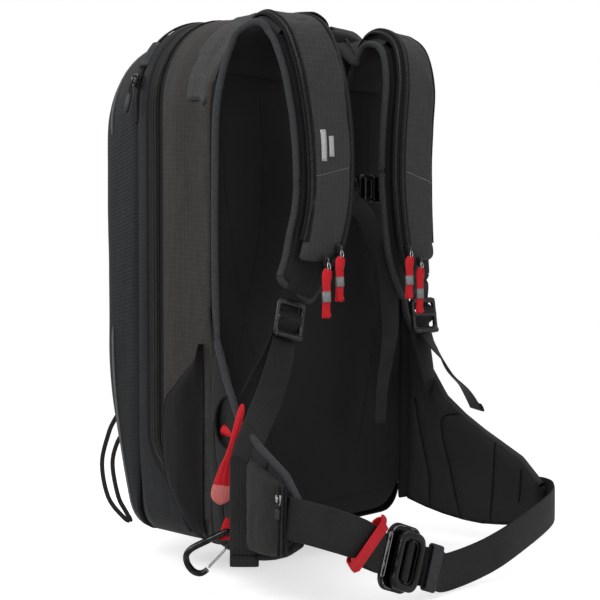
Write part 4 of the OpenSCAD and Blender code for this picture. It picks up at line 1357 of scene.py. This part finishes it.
def build_adjuster(word, side):
    lock = Vector((109 * side + LOCK_SHIFT, -157, 233 if side < 0 else 230))
    here = lock_place(side, lock)
    level = (here.to_3x3() @ Vector((side, 0, 0))).normalized() * side
    frame_plate = plate("lock_frame", rounded(35, 40, 6, steps=6),
                        [rounded(26.5, 10, 2.5, 0, 9)[::-1], rounded(26.5, 11, 2.5, 0, -7)[::-1]], 5, 1.5,
                        here)
    bars = []
    for y, lift, radius in ((-16.6, 2.0, 3.0), (1.2, 1.4, 2.4), (16.6, 0.4, 2.6)):
        rod = tube("lock_bar", [Vector((x, y, lift)) for x in steps(-16, 16, 8)], radius, sides=12,
                   across=(0, 1, 0))
        carry(rod, here)
        bars.append(rod)
    settle_join("ladder_lock_body_" + word, [frame_plate] + bars, "lock_" + word,
                ["ladder_lock_" + word], "gloss_plastic")

    def at(x, y, z):
        """Point on either side; everything near the lock is shifted towards +X with it."""
        near_lock = smooth((x - 96) / 6) * smooth((z - 190) / 20)
        return Vector((x * side + LOCK_SHIFT * near_lock, y, z))

    def lean(*v):
        return [Vector((a[0] * side, a[1], a[2])) for a in v]

    # Short webbing from the pad's end round the lock's upper bar, boxed with stitching.
    patch = [strap_at(side, 0.88, 0, 6), strap_at(side, 0.94, 0, 6.4), strap_at(side, 0.99, 0, 5),
             at(103, -156.5, 256), at(106, -153.2, 247), at(108, -152.6, 238)]
    strap_webbing = ribbon("lock_webbing_" + word, catmull(patch, 6), lean((1, 0.05, 0.35)) + [level], 26)
    settle(strap_webbing, "webbing", "pack")
    lines = []
    for f in (0.915, 0.955, 0.99):
        lines.append(stitches("row", [strap_at(side, f, a, 7.4) for a in steps(-10, 10, 20)], *FINE_STITCH))
    settle(join("lock_tacks_" + word, lines), "thread", "pack")

    # Load webbing from the lock down to the fin, and the free tail over it.
    sewn = [at(109.5, -152, 232), at(112, -150.5, 220), at(121, -149, 197), at(134, -145, 174),
            at(146, -140, 152), at(153, -134, 140)]
    load = ribbon("load_webbing_" + word, catmull(sewn, 8), [level] + lean((1, 0.25, 0.45)), 26)
    link(load, "webbing", ["adjuster_webbing_" + word])
    tail = [at(108.6, -155, 240), at(109, -159.8, 235), at(110, -158, 229), at(112, -153.5, 219),
            at(115, -155.5, 211)]
    if side < 0:
        tail += [at(123, -162, 198), at(144, -171, 168), at(162, -174, 143), at(178, -176.5, 122),
                 at(185, -178, 111), at(188, -179, 105), at(188.5, -178, 97), at(188.5, -178, 50),
                 at(188.5, -178, 5)]
        faces = [Vector(v) for v in ((0.95, -0.2, -0.3), (0.97, -0.2, -0.32), (1, -0.15, -0.35),
                                     (0.98, -0.2, -0.35), (0.9, -0.45, -0.2), (0.72, -0.69, 0),
                                     (0.68, -0.73, 0), (0.68, -0.73, 0), (0.68, -0.73, 0), (0.68, -0.73, 0))]
        widths, hem_width = 27.5, 27.5
    else:
        tail += [at(122, -161, 198), at(134, -165, 184), at(152, -165, 164), at(178, -165, 146),
                 at(192, -165, 132), at(204, -165, 118)]
        faces = [level, level] + lean((0.6, 0.5, 0.5), (0.3, 0.9, 0.3), (0.1, 1, 0.2))
        widths, hem_width = [26, 26, 24, 22, 22], 22
    end = tail[-1]
    strip = ribbon("adjuster_tail_" + word, catmull(tail, 8), faces, widths)
    hem_way = (tail[-1] - tail[-2]).normalized()
    out = faces[-1].cross(hem_way).normalized()
    out = -out if out.y > 0 else out
    hem_path = [end - hem_way * d + out * lift for d, lift in ((9, 1.9), (4, 2), (0, 1.2), (-0.8, 0.4))]
    hem = ribbon("tail_hem", hem_path, faces[-1], hem_width, 2.4)
    piece = join("adjuster_tail_" + word, [strip, hem])
    link(piece, "webbing")
    rest = [end - hem_way * 8 + faces[-1].normalized() * a + out * 3.2 for a in steps(-9, 9, 16)]
    if side < 0:
        link(stitches("tail_tack", rest, 1.6, 2.4, 0.35), "thread")


def build_chest_strap():
    socket = centre("sternum_socket")
    y, z = socket.y, socket.z

    def line(points):
        return catmull([Vector(p) for p in points], 6)

    near = [(-70, y + 4, z), (-52, y + 1, z), (-30, y, z), (-6, y, z), (3, y - 0.4, z), (6.5, y + 1.6, z)]
    settle(ribbon("chest_webbing_near", line(near), (0, 0, 1), 20), "webbing", "sternum",
           ["sternum_strap_right"])
    # The free end hangs from the socket over the back panel, turning edge-on lower down.
    tail = [(-4, y - 2.6, z + 0.5), (-10, y - 5, z - 2), (-8, y - 4, z - 14), (6, -160, z - 28),
            (30, -154, z - 55), (54, -150, z - 86), (67, -146, z - 144), (64, -145, z - 177),
            (54, -146, z - 214), (49, -147, z - 253)]
    turns = [Vector(v) for v in ((0.5, 0, 0.9), (0.75, -0.5, 0.45), (0.7, -0.7, 0.1), (0.75, -0.65, 0),
                                 (0.95, -0.1, 0), (0.98, 0.1, 0))]
    settle(ribbon("chest_tail", line(tail), turns, 20), "webbing", "sternum")
    here = Matrix.Translation(Vector((socket.x, y, z)) * MM) @ Matrix.Rotation(math.pi / 2, 4, "X")
    body = plate("socket_body", rounded(22, 30, 5, steps=6),
                 [rounded(6, 22, 2, -6, 0)[::-1], rounded(6, 20, 2, 4, 0)[::-1]], 7, 1.6, here)
    bar = tube("socket_bar", [Vector((-1.5, a, 0.5)) for a in steps(-12, 12, 6)], 1.5, across=(1, 0, 0))
    carry(bar, here)
    rails = [tube("socket_rail", [Vector((a, k * 13.4, 2.6)) for a in steps(-9, 9, 6)], 1.5,
                  across=(0, 1, 0)) for k in (-1, 1)]
    for rail in rails:
        carry(rail, here)
    settle_join("chest_socket", [body, bar] + rails, "sternum", ["sternum_socket"],
                "gloss_plastic")

    plug_x = high("sternum_strap_left").x - 44
    here = Matrix.Translation(Vector((plug_x, y, z)) * MM) @ Matrix.Rotation(math.pi / 2, 4, "X")
    plug = plate("plug_body", rounded(15, 28, 4, steps=6), [rounded(4.5, 21, 1.5, 3.5, 0)[::-1]], 5.4, 1.3,
                 here)
    prongs = []
    for k in (-1, 1):
        shape = [Vector((-6, k * 8.5, 0)), Vector((-11, k * 9.5, 0)), Vector((-16, k * 10.5, 0)),
                 Vector((-18.5, k * 8, 0))]
        prong = tube("plug_prong", catmull(shape, 4), 1.5, across=(0, 0, 1))
        carry(prong, here)
        prongs.append(prong)
    settle_join("chest_plug", [plug] + prongs, "sternum_plug", ["sternum_strap_left"],
                "gloss_plastic")
    far = [(plug_x + 3, y - 1.6, z), (plug_x + 8, y - 2, z), (plug_x + 20, y, z),
           (plug_x + 36, y + 2, z - 1), (76, y + 3, z - 2)]
    settle(ribbon("chest_webbing_far", line(far), (0, 0, 1), 20), "webbing", "sternum_plug")
    for word, side, body_name in (("near", -1, "sternum"), ("far", 1, "sternum_plug")):
        rail = [Vector((side * 66, -157.5, z + a)) for a in steps(-16, 16, 8)]
        clip = solid("chest_rail_" + word, sweep(rail, (1, 0, 0), 13, 6, oval(16, 0.5, 0.5)))
        settle(clip, "plastic", body_name)


# ---------------------------------------------------------------- pockets, leg strap and carabiner

def side_x(y, z):
    """Half width of the rear skin at a depth and height on the bag's flat side."""
    for a, b in zip(REAR_ROWS, REAR_ROWS[1:]):
        if a[0] <= y <= b[0]:
            f = (y - a[0]) / (b[0] - a[0])
            half = a[1] + (b[1] - a[1]) * f
            break
    else:
        half = REAR_ROWS[0 if y < REAR_ROWS[0][0] else -1][1]
    curl = 30 - math.sqrt(max(900 - max(30 - z, 0) ** 2, 0))
    return half - curl


POCKET_FRONT = [(-60, 14), (-52, 30), (-33, 52), (-23, 74), (-20, 100), (-20, 124), (-24, 144), (-30, 154)]


def build_side_pockets():
    for word, side in SIDES.items():
        rows = []
        front = catmull([(y, 0, z) for y, z in POCKET_FRONT], 4)
        top = catmull([(-30, 0, 154), (-52, 0, 172), (-70, 0, 190), (-83, 0, 208)], 6)[1:]
        for p in front + top:
            row = []
            back_y = REAR_Y + 1
            for k in range(17):
                g = k / 16
                y = p.x + (back_y - p.x) * g
                bulge = 1.6 + 5.5 * math.sin(math.pi * min(g * 1.1, 1)) ** 0.7 * smooth((p.z - 5) / 40)
                bulge += noise.fractal(Vector((y / 24, p.z / 50, side * 4)), 0.8, 2, 3) * 1.3
                row.append(Vector((side * (side_x(y, p.z) + bulge), y, p.z)))
            rows.append(row)
        pocket = grid("pocket_" + word, rows)
        face_towards(pocket, (side, 0, 0))
        thicken(pocket, SKIN_THICK)
        finish_with(pocket, "stretch")
        mouth = tube("pocket_mouth", [r[0] for r in rows[len(front) - 1:]], 1.5)
        rim = tube("pocket_rim", [r[0] for r in rows[:len(front)]], 1.2)
        face_outwards(mouth)
        face_outwards(rim)
        finish_with(mouth, "dark_binding")
        finish_with(rim, "dark_binding")
        settle_join("side_pocket_" + word, [pocket, mouth, rim], "pack",
                    ["side_pockets"] if side < 0 else ())


def pivot(joint):
    """Where a joint of the record turns, in millimetres."""
    return Vector(next(j for j in frame["record"]["behaviour"]["joints"] if j["name"] == joint)["pos_m"]) / MM


EYE = pivot("carabiner_swing")


def carabiner_place():
    turn = Matrix.Rotation(math.radians(-43), 4, "Z") @ Matrix.Rotation(math.pi / 2, 4, "X")
    return Matrix.Translation(EYE * MM) @ turn @ Matrix.Rotation(math.radians(-50), 4, "Z")


def build_leg_strap():
    # The strap's folded edge runs down in front of the stow pocket and ends in a rounded reflective tab.
    path = [Vector(p) for p in ((-169, -156, 154), (-172, -157, 147), (-176, -156, 133), (-180, -154, 117),
                                (-182, -150.5, 104), (-182, -146, 92), (-182, -142.5, 78), (-182, -140, 66))]
    across = [Vector((0.73, -0.68, 0))] * 2
    widths = [3, 7, 7.5, 7, 8, 13, 18, 19.5]
    strap = ribbon("leg_strap", catmull(path, 6), across, widths, 2.4)
    finish_with(strap, "red_webbing")
    end = path[-1]
    down = (path[-1] - path[-2]).normalized()
    cap = [end + down * d + Vector((-0.5, -0.5, 0)) for d in (-10, -5, 0, 3, 6, 8, 9.4)]
    tab = ribbon("leg_tab", cap, across, [19, 20.5, 20.5, 19, 15, 9, 3], 3.0)
    finish_with(tab, "red_reflective")
    settle_join("leg_strap_end", [strap, tab], "leg_strap", ["leg_strap_tab"])

    # Spare strap rolled up in the mouth of the mesh-lined stow pocket.
    heart = Vector((-162, -131, 132))
    right, lean = Vector((0.68, -0.73, 0)), Vector((-0.73, -0.68, 0.2)).normalized()
    axis = (right * 0.8 + lean * 0.5 - Vector((0, 0, 0.35))).normalized()
    first = axis.cross(Vector((0, 0, 1))).normalized()
    second = axis.cross(first)
    core = heart + lean * 10 + right * 2 - Vector((0, 0, 8))
    folds = []
    for k in range(44):
        a = 2 * math.pi * k / 16
        radius = 1.6 + 2.3 * a / (2 * math.pi)
        folds.append(core + first * (radius * math.cos(a)) + second * (radius * 0.8 * math.sin(a)))
    roll = ribbon("strap_roll", folds, axis, 17, 1.9)
    settle(roll, "red_webbing", "pack")
    mouth = []
    for row in range(7):
        g = row / 6
        ring = []
        for k in range(20):
            a = 2 * math.pi * k / 20
            size = 1 - 0.25 * g
            rise = Vector((0, 0, 25 * size * math.sin(a) + 2))
            ring.append(heart + right * (12 * size * math.cos(a) - 2) + rise
                        - lean * (22 * g - 9 + 5 * math.sin(a)))
        mouth.append(ring)
    lining = grid("stow_pocket_lining", mouth, True)
    modify(lining, "SOLIDIFY", thickness=SKIN_THICK * MM, offset=0)
    floor = solid("stow_pocket_floor", [mouth[-2], mouth[-1]])
    lip = tube("stow_pocket_lip", mouth[0], 1.3, closed=True)
    face_outwards(lip)
    settle_join("stow_pocket_mouth",
                [finish_with(lining, "mesh"), finish_with(floor, "mesh"), finish_with(lip, "dark_binding")],
                "pack")

    # Short red webbing that carries the carabiner, coming down behind the adjuster's tail.
    hang = [EYE + Vector(p) for p in ((4, 1, 20), (2.5, 0.5, 14), (1, 0, 6), (0, 0, 0.8), (0.6, 1.4, 3))]
    settle(ribbon("carabiner_webbing", catmull(hang, 6), (0.73, -0.68, 0), [4, 8, 12, 12, 12], 2),
           "red_webbing", "pack")


def build_carabiner():
    here = carabiner_place()
    shape = [(0, 8.5), (-5, 6), (-8, -4), (-11.5, -17), (-14.5, -30), (-13, -38), (-6, -42.5), (3, -43),
             (9, -39.5), (10.8, -33), (9.4, -20), (7.2, -6), (5, 5)]
    loop = catmull([Vector((x, y, 0)) for x, y in shape + shape[:1]], 8)[:-1]
    # The body is the closed outline without the stretch where the gate sits.
    body_path = [p for p in loop if not (p.x > 3 and -30.5 < p.y < -5.5)]
    cut = max(range(len(body_path)), key=lambda k: (body_path[k] - body_path[k - 1]).length)
    body_path = body_path[cut:] + body_path[:cut]
    rings = sweep(body_path, (0, 0, 1), [7.5, 8.5, 8, 8.5, 7.5], [5, 6.2, 6, 6.2, 5], oval(16, 0.6, 0.7))
    body = loft("carabiner_body", rings)
    carry(body, here)
    settle(body, "anodised", "carabiner", ["carabiner"])
    lean = Matrix.Rotation(math.radians(4), 4, "Z")
    wire = [Vector(p) for p in ((0.6, -11.4, -2.6), (0.2, -6, -2.5), (-0.2, 6, -2.0), (-0.6, 11, -1.4),
                                (-0.9, 12.6, 0), (-0.6, 11, 1.4), (-0.2, 6, 2.0), (0.2, -6, 2.5),
                                (0.6, -11.4, 2.6))]
    wire = [lean @ p + Vector((8.6, -18, 0)) for p in catmull(wire, 5)]
    gate = tube("carabiner_wire", wire, 0.95, sides=10, across=(0.2, 0.1, 1))
    carry(gate, here)
    settle(gate, "steel", "gate", ["carabiner_gate"])


def build_loops():
    lo, hi = low("haul_loop"), high("haul_loop")
    y, z = (lo.y + hi.y) / 2, hi.z
    path = [Vector(p) for p in ((-30, y + 6, z - 10), (-25, y + 4, z - 5), (-15, y + 2, z - 0.5),
                                (0, y, z + 2), (15, y + 2, z - 0.5), (25, y + 4, z - 5), (30, y + 6, z - 10))]
    settle(ribbon("haul_webbing", catmull(path, 6), (0, 1, 0.1), 17, 2.4), "webbing", "pack",
           ["haul_loop"])
    path = [(-113, 96, 122), (-117, 102, 112), (-121, 108, 96), (-124, 116, 62), (-120, 110, 24),
            (-111, 94, 2), (-107, 87, -1), (-109, 92, 8), (-114, 100, 26), (-117, 106, 62), (-113, 101, 88),
            (-108, 92, 100)]
    settle(ribbon("ski_webbing", catmull(path, 6), (0.6, -0.7, 0.2), 5, 1.8), "webbing", "pack",
           ["ski_loop"])


# ---------------------------------------------------------------- zips, sliders and pulls on the bag

def build_bag_zips(zips):
    count = len(zips[0])
    for name, row, span in (("main_zip", 9, range(-40, 84)), ("second_zip", 6, range(-38, 82)),
                            ("third_zip", 3, range(-36, 78))):
        path, out = [], []
        ring = zips[row]
        for k in span:
            a, b = ring[(k - 1) % count], ring[(k + 1) % count]
            way = (b - a).normalized()
            outward = way.cross(Vector((0, -1, 0))).normalized()
            path.append(ring[k % count] + outward * (1.2 if row == 9 else 0.2))
            out.append(outward)
        radius = 1.6 if row == 9 else 1.0
        cord = tube(name, path, radius, sides=8, across=(0, 1, 0))
        face_outwards(cord)
        settle(cord, "zip_teeth" if row == 9 else "dark_binding", "pack")


def build_booster_zip():
    x, z = SHELL_HALF - CORNER, SHELL_TOP - CORNER
    path, out = [], []

    def add(px, pz, nx, nz):
        path.append(Vector((px, RIM_Y + 1, pz)))
        out.append(Vector((nx, 0.25, nz)).normalized())

    radius = CORNER + 0.6
    for a in steps(math.radians(-8), math.pi / 2, 22):
        add(x + radius * math.cos(a), z + radius * math.sin(a), math.cos(a), math.sin(a))
    for k in range(1, 10):
        add(x - 2 * x * k / 10, z + radius, 0, 1)
    for a in steps(math.pi / 2, math.pi + math.radians(8), 22):
        add(-x + radius * math.cos(a), z + radius * math.sin(a), math.cos(a), math.sin(a))
    zip_line("booster_zip_line", path, out, 9, "pack")
    # Garage flap that covers the zip's end above the slider.
    flap = []
    for a in steps(math.radians(180 - 26), math.radians(180 - 44), 6):
        p = Vector((-x + (radius + 4.2) * math.cos(a), 0, z + (radius + 4.2) * math.sin(a)))
        out = Vector((math.cos(a), 0, math.sin(a)))
        flap.append([p + Vector((0, RIM_Y - 8 + 1.9 * k, 0)) - out * (abs(k - 4) / 4) ** 3 * 3.4
                     for k in range(9)])
    garage = grid("zip_garage", flap)
    face_towards(garage, (-1, 0, 0))
    modify(garage, "SOLIDIFY", thickness=1.4 * MM, offset=-1)
    settle(garage, "rubber", "pack")

    rest = math.radians(16)
    spot = Vector((-x - (CORNER + 5.4) * math.cos(rest), RIM_Y, z + (CORNER + 5.4) * math.sin(rest)))
    turn = Matrix.Rotation(rest, 4, "Y") @ Matrix.Rotation(-math.pi / 2, 4, "Z")
    turn = turn @ Matrix.Rotation(math.pi / 2, 4, "X")
    slider("booster_slider_body", "booster_zip_slider",
           Matrix.Translation(spot * MM) @ turn @ Matrix.Scale(1.5, 4), "booster_slider", "gunmetal", 24)


def build_strap_sliders():
    for word in SIDES:
        for kind, long in (("inner", 50), ("outer", 54)):
            node = f"{kind}_slider_{word}"
            spot = centre(node)
            here = Matrix.Translation(spot * MM) @ Matrix.Rotation(math.pi / 2, 4, "X")
            slider(node + "_body", node, here, node)
            pull = f"{kind}_pull_{word}"
            top = Vector((centre(pull).x, centre(pull).y, high(pull).z))
            # Wire loop, then a red tape folded through it, its two legs joined by a grey band.
            wire = [(-1.6, 0, -10), (-2, 0.4, -4), (0, 1.6, 0.8), (2, 0.4, -4), (-0.6, 0, -10)]
            ring = tube("pull_wire", [Vector(p) + top for p in catmull([Vector(p) for p in wire], 5)], 0.6,
                        across=(0, 1, 0))
            face_outwards(ring)
            finish_with(ring, "steel")
            legs = [(-4, 1, -long - 1), (-3.4, 0.8, -long * 0.74), (-4.6, -0.6, -long * 0.5),
                    (-5.6, -0.8, -long * 0.3), (-4, -0.2, -10.5), (-1.2, 0, -8.6), (1.6, 0.2, -10.5),
                    (2.6, 1.4, -long * 0.3), (-1.2, 1.8, -long * 0.5), (-3, 1.6, -long * 0.74),
                    (-1.8, 0, -long)]
            tape = ribbon("pull_tape", catmull([top + Vector(p) for p in legs], 5),
                          [Vector((x, y, 0)) for x, y in ((1, -0.35), (1, -0.3), (0.9, -0.5), (0.8, 0.5),
                                                          (0.9, 0.35), (1, -0.1))],
                          9, 1.5)
            band = [top + Vector((-3.9 + 0.6 * f, 0.5, -long * (0.52 + 0.2 * f))) for f in (0, 0.5, 1)]
            parts = [ring, finish_with(tape, "red_webbing"),
                     finish_with(ribbon("pull_band", band, (1, -0.25, 0), 9.6, 4.2), "pull_band")]
            settle_join(pull + "_tape", parts, pull, [pull])
    line = fin_at(-1, 0.975, high("hip_zip_slider").z - 4, 20)
    here = Matrix.Translation(line * MM)
    here = here @ Matrix.Rotation(-math.pi / 2 + FIN_SPLAY, 4, "Z") @ Matrix.Rotation(math.pi / 2, 4, "X")
    slider("hip_slider_body", "hip_zip_slider", here, "hip_slider", "steel", 16)


# ---------------------------------------------------------------- inside the pack

INNER_LOOKS = {
    "frame_sheet": "plastic", "frame_stays": "bare_metal", "blower_casing": "casing",
    "blower_cover": "casing", "cover_screws": "steel", "motor": "gunmetal", "bearings": "steel",
    "rotor_shaft": "steel", "impeller": "white_plastic", "outlet_duct": "casing",
    "valve_flap": "red_plastic", "battery_pack": "plastic", "control_box": "casing",
    "control_lid": "casing", "power_button": "red_plastic", "trigger_cable": "rubber",
    "trigger_handle": "red_plastic",
}


def build_airbag():
    """The airbag lies folded in pleats above the blower."""
    lo, hi = low("folded_airbag"), high("folded_airbag")
    parts = []
    folds = 7
    for k in range(folds):
        y = lo.y + (hi.y - lo.y) * (k + 0.5) / folds
        wide = (hi.x - lo.x) / 2 * (0.92 - 0.05 * (k % 2))
        tall = (hi.z - lo.z) / 2 * (0.95 - 0.04 * ((k + 1) % 2))
        middle_z = (hi.z + lo.z) / 2
        rings = []
        for x in steps(-1, 1, 24):
            taper = (1 - abs(x) ** 5) ** 0.5 + 0.02
            rings.append([Vector((x * wide, y + v * 3.6 * taper,
                                  middle_z + u * tall * taper * (0.93 - 0.2 * abs(x))))
                          for u, v in oval(20, 0.5, 0.7)])
        pleat = solid("pleat", rings)
        crumple(pleat, 1.6, 24, k + 2)
        parts.append(finish_with(pleat, "airbag_nylon"))
    settle_join("airbag_pleats", parts, "pack", ["folded_airbag"])


def build_stage():
    scene = bpy.context.scene
    floor_z = cad_box[0].z - 0.002
    verts, faces = [(0, 0, floor_z)], []
    for k in range(96):
        a = 2 * math.pi * k / 96
        verts.append((2.6 * math.cos(a), 2.6 * math.sin(a), floor_z))
        faces.append((0, k + 1, (k + 1) % 96 + 1))
    floor = make_mesh("floor", verts, faces)
    paper = Look("studio_floor", Roughness=0.9)
    tone = paper.mix(paper.noise(900, 2), (0.86, 0.86, 0.86), (0.9, 0.9, 0.9))
    paper.colour(tone)
    # The camera sees the paper lifted by its own backlight, which leaves only a faint shadow.
    seen = paper.tree.nodes.new("ShaderNodeLightPath").outputs["Is Camera Ray"]
    paper.set(paper.shader.inputs["Emission Color"], tone)
    paper.set(paper.shader.inputs["Emission Strength"], paper.math("MULTIPLY", seen, 0.62))
    # The floor thins out with distance so that its far edge doesn't show.
    tree = paper.tree
    far = tree.nodes.new("ShaderNodeVectorMath")
    far.operation = "LENGTH"
    tree.links.new(paper.object, far.inputs[0])
    clear = tree.nodes.new("ShaderNodeBsdfTransparent")
    mixer = tree.nodes.new("ShaderNodeMixShader")
    tree.links.new(paper.ramp(far.outputs["Value"], 0.35, 1.3), mixer.inputs[0])
    tree.links.new(paper.shader.outputs[0], mixer.inputs[1])
    tree.links.new(clear.outputs[0], mixer.inputs[2])
    tree.links.new(mixer.outputs[0], tree.nodes["Material Output"].inputs["Surface"])
    floor.data.materials.append(paper.mat)

    world = bpy.data.worlds.new("studio")
    scene.world = world
    world.use_nodes = True
    nodes, links = world.node_tree.nodes, world.node_tree.links
    soft = nodes["Background"]
    soft.inputs[0].default_value = (1, 1, 1, 1)
    soft.inputs[1].default_value = 0.42
    white = nodes.new("ShaderNodeBackground")
    white.inputs[0].default_value = (1, 1, 1, 1)
    white.inputs[1].default_value = 1.0
    ray = nodes.new("ShaderNodeLightPath")
    either = nodes.new("ShaderNodeMixShader")
    links.new(ray.outputs["Is Camera Ray"], either.inputs[0])
    links.new(soft.outputs[0], either.inputs[1])
    links.new(white.outputs[0], either.inputs[2])
    links.new(either.outputs[0], nodes["World Output"].inputs[0])

    def panel(name, place, size, power):
        light = bpy.data.lights.new(name, "AREA")
        light.energy = power
        light.size = size
        obj = bpy.data.objects.new(name, light)
        scene.collection.objects.link(obj)
        obj.location = place
        aim = Vector((0, -0.05, 0.27)) - Vector(place)
        obj.rotation_euler = aim.to_track_quat("-Z", "Y").to_euler()

    panel("key", (-1.5, -0.5, 1.35), 0.9, 14)
    panel("fill", (0.5, -1.8, 0.8), 1.2, 4)
    panel("rim", (-0.9, 1.4, 1.1), 1.0, 7)
    panel("top", (0.1, 0.0, 1.9), 0.8, 6)

    scene.view_settings.view_transform = "Standard"
    scene.view_settings.look = "None"


def build_camera():
    """A long lens from the wearer's right and front, just above the pack's middle."""
    azimuth, elevation, distance = math.radians(-47), math.radians(2), 1500
    target = Vector((36.9, -39.6, 246.35))
    back = Vector((math.sin(azimuth) * math.cos(elevation), -math.cos(azimuth) * math.cos(elevation),
                   math.sin(elevation)))
    lens = bpy.data.cameras.new("camera")
    lens.sensor_width = 36
    lens.lens = 36 * 1324 / 600
    camera = bpy.data.objects.new("camera", lens)
    bpy.context.scene.collection.objects.link(camera)
    camera.location = (target + back * distance) * MM
    camera.rotation_mode = "QUATERNION"
    camera.rotation_quaternion = (-back).to_track_quat("-Z", "Y")
    bpy.context.scene.camera = camera


# ---------------------------------------------------------------- the whole object

for node, look in INNER_LOOKS.items():
    finish_with(frame["nodes"][node], look)
build_bag_zips(build_bag())
build_booster_zip()
build_back_panel()
build_side_pockets()
for word, side in SIDES.items():
    build_strap(word, side)
    build_fin(word, side)
    build_wing(word, side)
    build_adjuster(word, side)
build_yoke_edge()
build_hip_pocket()
build_belts()
build_buckle()
build_chest_strap()
build_strap_sliders()
build_leg_strap()
build_carabiner()
build_loops()
build_airbag()
build_stage()
build_camera()
